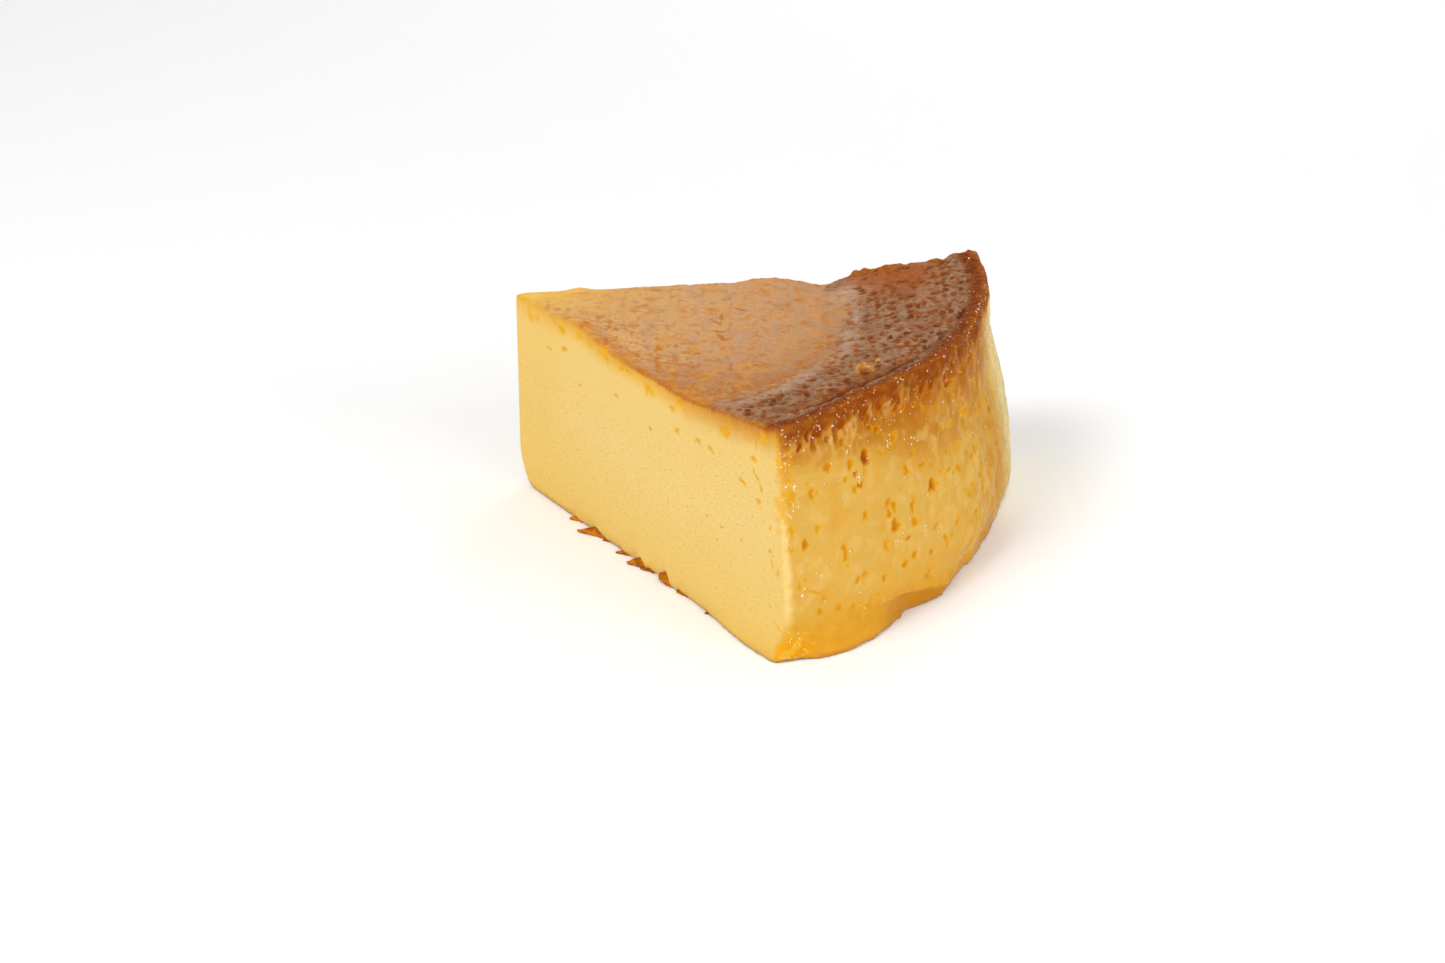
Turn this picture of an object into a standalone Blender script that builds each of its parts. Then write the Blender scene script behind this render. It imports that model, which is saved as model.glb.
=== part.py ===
"""A slice of baked custard flan, turned out of its pan and cut as a wedge: one solid.

Metres, +Z up. The tip points to -X and the outer wall, which the pan shaped, faces +X. The near cut
faces -Y and the far cut faces +Y. The origin is on the plate, under the middle of the slice's box.
A place on the slice is told by its radius from the tip, its turn about the tip and its height.
"""

import math
import random

import bmesh
import bpy
from mathutils import Matrix, Vector, noise

MM = 0.001

# The wedge: half of the angle between its two cuts.
HALF_ANGLE = math.radians(33.0)

# The outer wall, from the near cut to the far cut.
BELLY_RADIUS_NEAR = 110.0 * MM
BELLY_RADIUS_FAR = 112.0 * MM
BELLY_HEIGHT = 8.0 * MM
RIM_RADIUS = 105.2 * MM
RIM_HEIGHT = 51.0 * MM
RIM_ROLL = 1.2 * MM
CORNER_FLARE = 1.8 * MM
CORNER_FLARE_WIDTH = math.radians(6.0)
RIM_DENT = 1.9 * MM
RIM_DENT_TURN = math.radians(-15.0)
RIM_DENT_WIDTH = math.radians(8.0)

# The foot of the wall, which spread unevenly as the slice settled: the turn of each bulge or dent,
# its half-width and how far it stands out.
FOOT_RADIUS = 109.2 * MM
FOOT_BULGES = (
    (math.radians(-33.0), math.radians(3.0), -2.2 * MM),
    (math.radians(-25.0), math.radians(8.0), 2.9 * MM),
    (math.radians(-13.8), math.radians(1.8), -1.3 * MM),
    (math.radians(-9.0), math.radians(3.2), 1.7 * MM),
    (math.radians(24.0), math.radians(7.0), 2.3 * MM),
)

# The crease over the lip of baked skin that curls out at the foot, along a part of the wall.
CREASE_DEPTH = 1.0 * MM
CREASE_HEIGHT = 3.6 * MM
CREASE_WIDTH = 1.7 * MM
CREASE_START = math.radians(-17.0)
CREASE_END = math.radians(20.0)
CREASE_FADE = math.radians(2.5)

# The top, which sank as it cooled: a dish, a moat round it, and a ring that climbs to the rim.
DISH_HEIGHT = 45.6 * MM
RING_RADIUS = 72.5 * MM
MOAT_RADIUS = 69.5 * MM
MOAT_WIDTH = 4.2 * MM
MOAT_DEPTH = 2.0 * MM
MOUND_RADIUS = 27.0 * MM
MOUND_WIDTH = 9.0 * MM
MOUND_HEIGHT = 1.8 * MM
BUMP_RADIUS = 57.0 * MM
BUMP_WIDTH = 5.0 * MM
BUMP_HEIGHT = 0.8 * MM
SHELF_RADIUS = 94.5 * MM
SHELF_WIDTH = 4.5 * MM
SHELF_DEPTH = 0.9 * MM
GROOVE_INSET = 4.6 * MM
GROOVE_WIDTH = 1.3 * MM
GROOVE_DEPTH = 0.7 * MM

# The tip, whose foot is rubbed away, and the foot of the near cut, which bulges towards its corner.
TIP_TUCK = 4.5 * MM
TIP_TUCK_HEIGHT = 9.0 * MM
BULGE_RADIUS = 97.0 * MM
BULGE_WIDTH = 13.0 * MM
BULGE_HEIGHT = 8.0 * MM
BULGE_REACH = 1.7 * MM

# The unevenness of each surface: how far it wanders, and over what distance.
TOP_WANDER = 0.4 * MM
TOP_WANDER_SPAN = 13.0 * MM
WALL_WANDER = 0.6 * MM
WALL_WANDER_SPAN = 15.0 * MM
CUT_WANDER = 0.35 * MM
CUT_WANDER_SPAN = 24.0 * MM

# The mesh: rings out from the tip, spokes from cut to cut, levels from foot to rim.
RINGS = 32
RING_CROWDING = 1.3
SPOKES = 38
LEVELS = 16
LEVEL_CROWDING = 0.6

# Flakes of browned skin at the foot of the near cut: the radius at which each sits, its length along
# the cut, its height up the cut, how far it stands out, and how many points its torn edge has.
FLAKES = (
    (27.2 * MM, 2.2 * MM, 1.6 * MM, 1.6 * MM, 1),
    (35.2 * MM, 4.8 * MM, 2.0 * MM, 3.4 * MM, 1),
    (39.8 * MM, 1.3 * MM, 0.9 * MM, 0.9 * MM, 1),
    (47.4 * MM, 2.0 * MM, 1.4 * MM, 1.5 * MM, 1),
    (55.0 * MM, 5.0 * MM, 2.8 * MM, 2.7 * MM, 2),
    (67.0 * MM, 5.0 * MM, 4.0 * MM, 2.1 * MM, 0),
    (79.2 * MM, 1.4 * MM, 0.9 * MM, 0.9 * MM, 0),
)
FLAKE_FLOOR = 0.3 * MM
FLAKE_ROOT = 0.8 * MM
FLAKE_LEAN = 0.45
FLAKE_NOTCH = 0.45
FLAKE_THIN_EDGE = 0.28
FLAKE_JITTER = 0.12
ROUND_FLAKE_SIDES = 6
FLAKE_SEED = 7

# Steam holes in the wall: a row of long ones that hang from the rim, and others scattered below.
RIM_HOLES = 30
RIM_HOLE_DROP = (3.5 * MM, 9.0 * MM)
RIM_HOLE_WIDTH = (1.1 * MM, 2.0 * MM)
RIM_HOLE_STRETCH = (1.6, 2.8)
RIM_HOLE_JITTER = (0.2, 0.8)
WALL_HOLES = 44
WALL_HOLE_HEIGHT = (8.0 * MM, 40.0 * MM)
WALL_HOLE_WIDTH = (1.1 * MM, 2.6 * MM)
WALL_HOLE_STRETCH = (0.9, 2.0)
HOLE_MARGIN = math.radians(1.6)
HOLE_SPACING = 3.4 * MM
HOLE_DEPTH_TO_WIDTH = 0.42
HOLE_LEAN = 0.3
HOLE_SEED = 11

# An edge is drawn sharp where its two faces meet at more than this.
SHARP_EDGE = math.radians(35.0)

CUSTARD_COLOUR = (0.89, 0.63, 0.24, 1.0)
BROWNED_COLOUR = (0.38, 0.17, 0.06, 1.0)
CUSTARD_ROUGHNESS = 0.35
BROWNED_ROUGHNESS = 0.5


def clear_scene():
    for old in list(bpy.data.objects):
        bpy.data.objects.remove(old)


def food_material(name, colour, roughness):
    """A plain finish in one colour."""
    material = bpy.data.materials.new(name)
    material.use_nodes = True
    shader = material.node_tree.nodes["Principled BSDF"]
    shader.inputs["Base Color"].default_value = colour
    shader.inputs["Roughness"].default_value = roughness
    shader.inputs["Metallic"].default_value = 0.0
    material.diffuse_color = colour
    return material


def share(value, low, high):
    """How far value is from low to high, kept between 0 and 1."""
    return min(1.0, max(0.0, (value - low) / (high - low)))


def ease(amount):
    return amount * amount * (3.0 - 2.0 * amount)


def mix(first, second, amount):
    return first + (second - first) * amount


def bell(value, middle, width):
    """1 at the middle, falling off smoothly to both sides."""
    return math.exp(-(((value - middle) / width) ** 2))


def wander(x, y, z, span):
    """Slow unevenness from -1 to 1, the same on each run."""
    return noise.noise(Vector((x, y, z)) / span)


def place(radius, turn, height):
    """The point at a radius and a turn about the tip."""
    return Vector((radius * math.cos(turn), radius * math.sin(turn), height))


def far_share(turn):
    """0 at the near cut and 1 at the far cut."""
    return ease(share(turn, -HALF_ANGLE, HALF_ANGLE))


def rim_radius(turn):
    """The rim in plan: round, but flared at the near corner and dented beside it."""
    flare = CORNER_FLARE * bell(turn, -HALF_ANGLE, CORNER_FLARE_WIDTH)
    dent = RIM_DENT * bell(turn, RIM_DENT_TURN, RIM_DENT_WIDTH)
    return RIM_RADIUS + flare - dent


def foot_radius(turn):
    """The foot of the wall in plan: it bulges and is dented where it settled."""
    return FOOT_RADIUS + sum(reach * bell(turn, middle, width) for middle, width, reach in FOOT_BULGES)


def foot_crease(height, turn):
    """The crease over the curled lip of skin, where there is one."""
    start = ease(share(turn, CREASE_START - CREASE_FADE, CREASE_START + CREASE_FADE))
    end = 1.0 - ease(share(turn, CREASE_END - CREASE_FADE, CREASE_END + CREASE_FADE))
    return CREASE_DEPTH * start * end * bell(height, CREASE_HEIGHT, CREASE_WIDTH)


def wall_radius(height, turn):
    """The outer wall: out from its foot to its belly, then leaning in towards the rim."""
    belly = mix(BELLY_RADIUS_NEAR, BELLY_RADIUS_FAR, far_share(turn))
    rise = ease(share(height, 0.0, BELLY_HEIGHT))
    climb = ease(share(height, BELLY_HEIGHT, RIM_HEIGHT))
    around = place(belly, turn, height)
    uneven = WALL_WANDER * rise * wander(around.x, around.y, height, WALL_WANDER_SPAN)
    radius = mix(mix(foot_radius(turn), belly, rise), rim_radius(turn), climb)
    return radius - foot_crease(height, turn) + uneven


def top_height(radius, turn):
    """The sunken top: its dish, its moat and shelf on the far side, its ring and the rolled rim."""
    rim = rim_radius(turn)
    far = far_share(turn)
    climb = mix(DISH_HEIGHT, RIM_HEIGHT, share(radius, RING_RADIUS, rim))
    moat = MOAT_DEPTH * far * bell(radius, MOAT_RADIUS, MOAT_WIDTH)
    mound = MOUND_HEIGHT * (1.0 - far) * bell(radius, MOUND_RADIUS, MOUND_WIDTH)
    bump = BUMP_HEIGHT * far * bell(radius, BUMP_RADIUS, BUMP_WIDTH)
    shelf = SHELF_DEPTH * far * bell(radius, SHELF_RADIUS, SHELF_WIDTH)
    groove = GROOVE_DEPTH * bell(radius, rim - GROOVE_INSET, GROOVE_WIDTH)
    roll = RIM_ROLL * (1.0 - math.sqrt(1.0 - share(radius, rim - RIM_ROLL, rim) ** 2))
    where = place(radius, turn, 0.0)
    uneven = TOP_WANDER * wander(where.x, where.y, 0.0, TOP_WANDER_SPAN)
    return climb - moat + mound + bump - shelf - groove - roll + uneven


def tip_radius(height):
    """How far the tip is rubbed back from the meeting of the two cuts."""
    return TIP_TUCK * (1.0 - share(height, 0.0, TIP_TUCK_HEIGHT)) ** 2


def cut_bow(radius, height, turn):
    """How far a cut stands out of its plane: the knife's wander, and the near one's bulging foot."""
    side = math.copysign(1.0, turn)
    bow = side * CUT_WANDER * wander(radius, height, side, CUT_WANDER_SPAN)
    if turn < 0.0:
        foot = 1.0 - share(height, 0.0, BULGE_HEIGHT)
        bow -= BULGE_REACH * bell(radius, BULGE_RADIUS, BULGE_WIDTH) * foot
    return bow


def slice_point(out, turn, up):
    """The point of the slice at a share out to the wall, a turn, and a share up to the top."""
    height = up * top_height(out * rim_radius(turn), turn)
    tip = tip_radius(height)
    radius = tip + out * (wall_radius(height, turn) - tip)
    point = place(radius, turn, height)
    on_cut = out > 0.0 and math.isclose(abs(turn), HALF_ANGLE)
    if on_cut:
        across = Vector((-math.sin(turn), math.cos(turn), 0.0))
        point += across * cut_bow(radius, height, turn)
    return point


def slice_mesh():
    """The wedge: its top, its wall, its two cuts and its flat base, on shared points."""
    outs = [1.0 - (1.0 - i / RINGS) ** RING_CROWDING for i in range(RINGS + 1)]
    turns = [mix(-HALF_ANGLE, HALF_ANGLE, j / SPOKES) for j in range(SPOKES + 1)]
    even = [k / LEVELS for k in range(LEVELS + 1)]
    ups = [mix(t, 0.5 - 0.5 * math.cos(math.pi * t), LEVEL_CROWDING) for t in even]
    mesh = bmesh.new()
    corners = {}

    def corner(i, j, k):
        """The mesh's point at a ring, a spoke and a level; at the tip all spokes share the first's."""
        spoke = j if i else 0
        key = (i, spoke, k)
        if key not in corners:
            corners[key] = mesh.verts.new(slice_point(outs[i], turns[spoke], ups[k]))
        return corners[key]

    def face(*places):
        points = list(dict.fromkeys(corner(*p) for p in places))
        return mesh.faces.new(points)

    for i in range(RINGS):
        for j in range(SPOKES):
            top = face((i, j, LEVELS), (i + 1, j, LEVELS), (i + 1, j + 1, LEVELS), (i, j + 1, LEVELS))
            top.material_index = 1
    for k in range(LEVELS):
        for j in range(SPOKES):
            face((RINGS, j, k), (RINGS, j + 1, k), (RINGS, j + 1, k + 1), (RINGS, j, k + 1))
        for i in range(RINGS):
            face((i, 0, k), (i + 1, 0, k), (i + 1, 0, k + 1), (i, 0, k + 1))
            face((i, SPOKES, k), (i, SPOKES, k + 1), (i + 1, SPOKES, k + 1), (i + 1, SPOKES, k))
    foot = [(i, SPOKES, 0) for i in range(RINGS)] + [(RINGS, j, 0) for j in range(SPOKES, -1, -1)]
    foot += [(i, 0, 0) for i in range(RINGS - 1, 0, -1)]
    base = face(*foot)
    base.material_index = 1
    return mesh


def new_object(name, mesh, materials=()):
    """Makes an object of a bmesh and frees it."""
    data = bpy.data.meshes.new(name)
    mesh.to_mesh(data)
    mesh.free()
    for material in materials:
        data.materials.append(material)
    made = bpy.data.objects.new(name, data)
    bpy.context.scene.collection.objects.link(made)
    return made


def torn_edge(length, reach, points, draw):
    """A flake's edge in plan, along the cut and out from it: points and notches, or else round."""
    sides = 2 * points + 1 if points else ROUND_FLAKE_SIDES
    edge = [(-length / 2, -FLAKE_ROOT)]
    for number in range(sides):
        along = (number + 0.5) / sides
        if points:
            out = reach if number % 2 else reach * FLAKE_NOTCH
        else:
            out = reach * math.sin(math.pi * along)
        out *= 1.0 - FLAKE_JITTER * draw.random()
        edge.append((length * (along - 0.5) - FLAKE_LEAN * out, out))
    edge.append((length / 2, -FLAKE_ROOT))
    return edge


def make_flakes(draw):
    """The flakes of browned skin: each is thick at the cut and thin at its torn edge."""
    flakes = []
    for radius, length, height, reach, points in FLAKES:
        spot = Matrix.Translation(place(radius, -HALF_ANGLE, FLAKE_FLOOR))
        spot = spot @ Matrix.Rotation(-HALF_ANGLE, 4, "Z")
        mesh = bmesh.new()
        under = []
        over = []
        for along, out in torn_edge(length, reach, points, draw):
            rise = height * mix(1.0, FLAKE_THIN_EDGE, share(out, 0.0, reach))
            under.append(mesh.verts.new(spot @ Vector((along, -out, 0.0))))
            over.append(mesh.verts.new(spot @ Vector((along, -out, rise))))
        mesh.faces.new(under)
        mesh.faces.new(reversed(over))
        for number in range(len(under)):
            mesh.faces.new((under[number - 1], over[number - 1], over[number], under[number]))
        bmesh.ops.recalc_face_normals(mesh, faces=mesh.faces)
        bmesh.ops.triangulate(mesh, faces=mesh.faces)
        flakes.append(new_object(f"flake_{len(flakes)}", mesh))
    return flakes


def hole_places(draw):
    """Where the steam holes are: (turn, height, width, stretch) of each, none too close to another."""
    span = HALF_ANGLE - HOLE_MARGIN
    holes = []
    for number in range(RIM_HOLES):
        turn = mix(-span, span, (number + draw.uniform(*RIM_HOLE_JITTER)) / RIM_HOLES)
        height = RIM_HEIGHT - draw.uniform(*RIM_HOLE_DROP)
        holes.append((turn, height, draw.uniform(*RIM_HOLE_WIDTH), draw.uniform(*RIM_HOLE_STRETCH)))
    while len(holes) < RIM_HOLES + WALL_HOLES:
        turn = mix(-span, span, math.sqrt(draw.random()))
        height = draw.uniform(*WALL_HOLE_HEIGHT)
        spot = place(BELLY_RADIUS_NEAR, turn, height)
        apart = [(spot - place(BELLY_RADIUS_NEAR, t, h)).length for t, h, _, _ in holes]
        if min(apart) > HOLE_SPACING:
            width = draw.uniform(*WALL_HOLE_WIDTH)
            holes.append((turn, height, width, draw.uniform(*WALL_HOLE_STRETCH)))
    return holes


def make_holes(draw):
    """The cutters of the steam holes: small upright ovals that straddle the wall's surface."""
    cutters = []
    for turn, height, width, stretch in hole_places(draw):
        mesh = bmesh.new()
        bmesh.ops.create_icosphere(mesh, subdivisions=1, radius=1.0)
        sizes = (width * HOLE_DEPTH_TO_WIDTH, width / 2, width * stretch / 2)
        spot = Matrix.Translation(place(wall_radius(height, turn), turn, height))
        lean = draw.uniform(-HOLE_LEAN, HOLE_LEAN)
        facing = Matrix.Rotation(turn, 4, "Z") @ Matrix.Rotation(lean, 4, "X")
        shape = spot @ facing @ Matrix.Diagonal((*sizes, 1.0))
        bmesh.ops.transform(mesh, matrix=shape, verts=mesh.verts)
        cutters.append(new_object(f"steam_hole_{len(cutters)}", mesh))
    return cutters


def combine(body, others, operation):
    """Joins the others to the body, or cuts them out of it, in one Boolean that is applied."""
    group = bpy.data.collections.new(operation.lower())
    bpy.context.scene.collection.children.link(group)
    for other in others:
        bpy.context.scene.collection.objects.unlink(other)
        group.objects.link(other)
    boolean = body.modifiers.new(operation.title(), "BOOLEAN")
    boolean.operation = operation
    boolean.operand_type = "COLLECTION"
    boolean.collection = group
    boolean.solver = "EXACT"
    graph = bpy.context.evaluated_depsgraph_get()
    done = bpy.data.meshes.new_from_object(body.evaluated_get(graph))
    body.modifiers.clear()
    body.data = done
    for other in others:
        bpy.data.objects.remove(other)
    bpy.data.collections.remove(group)


def stand_on_origin(body):
    """Moves the slice so that the origin is under the middle of its box, on the plate."""
    points = [vert.co for vert in body.data.vertices]
    low = Vector([min(p[axis] for p in points) for axis in range(3)])
    high = Vector([max(p[axis] for p in points) for axis in range(3)])
    middle = (low + high) / 2
    body.data.transform(Matrix.Translation((-middle.x, -middle.y, -low.z)))


def main():
    clear_scene()
    custard = food_material("custard", CUSTARD_COLOUR, CUSTARD_ROUGHNESS)
    browned = food_material("browned_skin", BROWNED_COLOUR, BROWNED_ROUGHNESS)
    body = new_object("custard_flan", slice_mesh(), (custard, browned))
    combine(body, make_flakes(random.Random(FLAKE_SEED)), "UNION")
    combine(body, make_holes(random.Random(HOLE_SEED)), "DIFFERENCE")
    stand_on_origin(body)
    body.data.shade_smooth()
    body.data.set_sharp_from_angle(angle=SHARP_EDGE)


main()
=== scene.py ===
"""A slice of baked custard flan: the custard with its browned top, torn flakes, crumbs and syrup.

Metres, +Z up. The tip of the wedge points to -X, the outer wall faces +X and the near cut -Y.
A place on the slice is told by its radius from the tip, its turn about the tip and its height.
"""

import math
import random

import bpy
import numpy as np
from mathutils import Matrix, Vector, kdtree, noise


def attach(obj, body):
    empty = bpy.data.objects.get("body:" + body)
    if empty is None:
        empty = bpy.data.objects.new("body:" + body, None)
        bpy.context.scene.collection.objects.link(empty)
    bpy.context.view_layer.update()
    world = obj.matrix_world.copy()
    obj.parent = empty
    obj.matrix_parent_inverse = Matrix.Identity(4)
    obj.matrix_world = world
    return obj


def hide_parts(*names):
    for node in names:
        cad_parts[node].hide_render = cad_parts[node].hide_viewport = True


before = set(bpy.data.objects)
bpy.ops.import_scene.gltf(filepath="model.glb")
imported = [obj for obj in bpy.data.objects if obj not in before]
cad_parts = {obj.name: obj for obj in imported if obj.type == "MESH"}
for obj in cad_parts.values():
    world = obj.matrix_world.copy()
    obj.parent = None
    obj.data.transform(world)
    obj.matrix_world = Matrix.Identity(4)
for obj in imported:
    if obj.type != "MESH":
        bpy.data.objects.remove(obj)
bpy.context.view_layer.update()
bpy.ops.object.select_all(action="DESELECT")

# ---------------------------------------------------------------------------------------------
# The slice: eggs, milk and sugar that set in a round pan, were turned out and were cut by knife.
# The top browned and sank as it cooled, steam left holes in the wall against the pan, and the
# two cuts are smooth. It is one piece, so it is one mesh, carved from a copy of the solid.

MM = 0.001
HALF_ANGLE = math.radians(33.0)
UP = np.array([0.0, 0.0, 1.0])
SKIN_VOXEL = 0.42 * MM

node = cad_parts["custard_flan"]
flan = bpy.data.objects.new("custard_slice", node.data.copy())
bpy.context.scene.collection.objects.link(flan)
flan.data.materials.clear()
bpy.context.view_layer.objects.active = flan
flan.select_set(True)
bpy.ops.object.mode_set(mode="EDIT")
bpy.ops.mesh.select_all(action="SELECT")
bpy.ops.mesh.remove_doubles(threshold=0.000001)
bpy.ops.object.mode_set(mode="OBJECT")


def apply_modifier(piece, kind, **settings):
    """Adds one modifier to a piece and applies it."""
    bpy.context.view_layer.objects.active = piece
    modifier = piece.modifiers.new(kind.lower(), kind)
    for name, value in settings.items():
        setattr(modifier, name, value)
    bpy.ops.object.modifier_apply(modifier=modifier.name)


def read_points(mesh, field="co"):
    """The mesh's vertices, or their normals, as rows of three numbers."""
    flat = np.empty(len(mesh.vertices) * 3, np.float32)
    mesh.vertices.foreach_get(field, flat)
    return flat.reshape(-1, 3).astype(float)


def write_points(mesh, points):
    mesh.vertices.foreach_set("co", points.astype(np.float32).ravel())
    mesh.update()


def smoothstep(values, low, high):
    share = np.clip((values - low) / (high - low), 0.0, 1.0)
    return share * share * (3.0 - 2.0 * share)


def bell(values, middle, width):
    return np.exp(-(((values - middle) / width) ** 2))


apply_modifier(flan, "REMESH", mode="VOXEL", voxel_size=SKIN_VOXEL)
points = read_points(flan.data)
tip = points[np.argmin(points[:, 0])] * (1.0, 1.0, 0.0)


def spot(reach, way, up):
    """The point at a radius, a turn and a height."""
    return tip + np.array([reach * math.cos(way), reach * math.sin(way), up])


# The flakes at the foot of the near cut are pieces of their own below, so here they are pared off.
FLAKES_FROM, FLAKES_TO, FLAKES_UP_TO = 15 * MM, 81 * MM, 6 * MM
CUT_BOW = 0.35 * MM
near_out = np.array([-math.sin(HALF_ANGLE), -math.cos(HALF_ANGLE), 0.0])
far_out = near_out * (1.0, -1.0, 1.0)
beyond = (points - tip) @ near_out - CUT_BOW
along_cut = np.hypot(*(points - tip)[:, :2].T)
is_flake = (along_cut > FLAKES_FROM) & (along_cut < FLAKES_TO) & (points[:, 2] < FLAKES_UP_TO)
points -= np.where(is_flake & (beyond > 0.0), beyond, 0.0)[:, None] * near_out
write_points(flan.data, points)

# Slots that the knife opened along the top of the near cut, and hair cracks lower down.
# Radius, height, length and width in millimetres, and the lean in degrees.
CUT_SLOTS = (
    (20.8, 43.4, 3.4, 1.1, -5),
    (15.3, 37.3, 2.4, 0.6, 0),
    (22.0, 39.5, 3.2, 0.7, 10),
    (28.6, 33.3, 1.8, 0.6, 20),
    (39.4, 44.9, 2.8, 1.2, 10),
    (39.8, 43.2, 2.8, 1.0, -10),
    (44.0, 36.0, 1.6, 0.7, 0),
    (46.5, 43.0, 2.2, 0.7, 10),
    (49.3, 43.5, 1.8, 0.9, -15),
    (56.8, 41.8, 2.8, 1.4, 20),
    (57.5, 33.4, 1.6, 0.8, -10),
    (66.1, 41.0, 2.8, 0.9, -5),
    (68.1, 36.7, 2.0, 1.0, 0),
    (68.4, 43.9, 2.0, 0.8, 30),
    (70.6, 43.0, 3.2, 0.7, -40),
    (76.5, 37.5, 2.8, 0.8, 8),
    (81.6, 37.4, 2.8, 0.7, -18),
    (86.6, 42.9, 3.0, 1.1, -20),
    (88.1, 43.9, 3.2, 1.1, 40),
    (93.6, 34.8, 3.2, 0.7, -15),
    (97.7, 41.3, 3.2, 1.0, 0),
    (96.0, 45.2, 2.0, 0.5, 80),
    (98.6, 45.0, 3.2, 0.45, 84),
    (97.7, 39.0, 1.4, 0.6, -70),
    (98.9, 37.8, 2.2, 0.6, -40),
    (100.3, 36.0, 2.8, 0.7, -75),
    (99.3, 32.7, 1.9, 1.2, 0),
    (101.3, 46.8, 2.8, 1.7, -30),
    (103.8, 28.6, 1.6, 0.5, 70),
    (103.9, 23.6, 1.4, 0.7, 80),
    (104.6, 21.0, 3.4, 0.45, -80),
    (106.2, 43.6, 1.8, 1.1, 0),
    (86.0, 21.8, 1.5, 0.5, 0),
    (80.2, 22.2, 1.4, 0.5, 30),
    (84.2, 18.2, 1.2, 0.5, 0),
    (93.2, 21.8, 1.2, 0.6, 80),
    (106.7, 20.0, 1.8, 0.8, 60),
    (107.4, 7.9, 1.2, 0.8, 0),
    (104.2, 11.5, 0.9, 0.6, 0),
)
cut_along = np.array([math.cos(HALF_ANGLE), -math.sin(HALF_ANGLE), 0.0])
slot_places = [spot(reach * MM, -HALF_ANGLE, up * MM) for reach, up, *_ in CUT_SLOTS]
SLOT_MARGIN = 0.6 * MM
face_middles = np.empty(len(flan.data.polygons) * 3, np.float32)
flan.data.polygons.foreach_get("center", face_middles)
face_middles = face_middles.reshape(-1, 3)
by_a_slot = np.zeros(len(face_middles), bool)
for place, (_, _, long, _, _) in zip(slot_places, CUT_SLOTS):
    away = np.linalg.norm(face_middles - place, axis=1)
    by_a_slot |= away < long / 2 * MM + SLOT_MARGIN
flan.data.vertices.foreach_set("select", np.zeros(len(flan.data.vertices), bool))
flan.data.edges.foreach_set("select", np.zeros(len(flan.data.edges), bool))
flan.data.polygons.foreach_set("select", by_a_slot)
bpy.ops.object.mode_set(mode="EDIT")
bpy.context.tool_settings.mesh_select_mode = (False, False, True)
bpy.ops.mesh.subdivide(number_cuts=1)
bpy.ops.mesh.select_all(action="SELECT")
bpy.ops.mesh.quads_convert_to_tris()
bpy.ops.object.mode_set(mode="OBJECT")

points = read_points(flan.data)
links = np.empty(len(flan.data.edges) * 2, int)
flan.data.edges.foreach_get("vertices", links)
links = links.reshape(-1, 2)
link_counts = np.bincount(links.ravel(), minlength=len(points))[:, None]


def averaged(values, rounds):
    """Values at the vertices, averaged with their neighbours' a number of times."""
    values = values.reshape(len(values), -1)
    for _ in range(rounds):
        sums = np.empty_like(values)
        for column in range(values.shape[1]):
            ahead = np.bincount(links[:, 0], values[links[:, 1], column], len(values))
            behind = np.bincount(links[:, 1], values[links[:, 0], column], len(values))
            sums[:, column] = ahead + behind
        values = sums / link_counts
    return values


# Where each vertex is about the tip, and on which of the slice's five faces.
offsets = points - tip
radius = np.hypot(offsets[:, 0], offsets[:, 1])
turn = np.arctan2(offsets[:, 1], offsets[:, 0])
height = points[:, 2].copy()
write_points(flan.data, averaged(points, 6))
normals = read_points(flan.data, "normal")
wall_out = np.stack([np.cos(turn), np.sin(turn), np.zeros(len(turn))], 1)
from_near = radius * np.sin(turn + HALF_ANGLE)
from_far = radius * np.sin(HALF_ANGLE - turn)
FACE_DEPTH = 3 * MM
LOWEST_TOP = 40 * MM
INNERMOST_WALL = 98 * MM
TOP, WALL, NEAR = range(3)
# How much each vertex leans the way that the top, the wall, the two cuts and the base do.
leanings = [
    normals[:, 2] * (height > LOWEST_TOP),
    (normals * wall_out).sum(1) * (radius > INNERMOST_WALL),
    normals @ near_out * (from_near < FACE_DEPTH),
    normals @ far_out * (from_far < FACE_DEPTH),
    -normals[:, 2] * (height < FACE_DEPTH),
]
face = np.argmax(leanings, 0)
on_top, on_wall, on_near, on_far, on_base = averaged(np.eye(len(leanings))[face], 10).T

# How far each vertex is from an edge of its face, and from the top's edge.
crossing = face[links[:, 0]] != face[links[:, 1]]
edge_points = np.unique(links[crossing])
top_edge = edge_points[face[edge_points] == TOP]


def distances_to(chosen):
    """How far every vertex is from the nearest of the chosen ones."""
    tree = kdtree.KDTree(len(chosen))
    for index in chosen:
        tree.insert(points[index], int(index))
    tree.balance()
    return np.array([tree.find(place)[2] for place in points])


from_edge = distances_to(edge_points)
drop = distances_to(top_edge)

# The solid's facets are smoothed away, but the edges that the knife and the pan left stay crisp.
CRISP_EDGE = (0.8 * MM, 3.0 * MM)
inner = smoothstep(from_edge, *CRISP_EDGE)[:, None]
points = averaged(points, 3) * (1.0 - inner) + averaged(points, 36) * inner

# The top sank softly: no line shows where its dish turns up into the ring.
SOFT_TOP = (3.0 * MM, 9.0 * MM)
inner = smoothstep(from_edge, *SOFT_TOP) * on_top
points[:, 2] += inner * (averaged(points[:, 2], 240)[:, 0] - points[:, 2])
write_points(flan.data, points)
normals = read_points(flan.data, "normal")

skin_tree = kdtree.KDTree(len(points))
for index, place in enumerate(points):
    skin_tree.insert(place, index)
skin_tree.balance()
sunk = np.zeros(len(points))
hollow = np.zeros(len(points))
webs = np.zeros(len(points))


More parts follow.
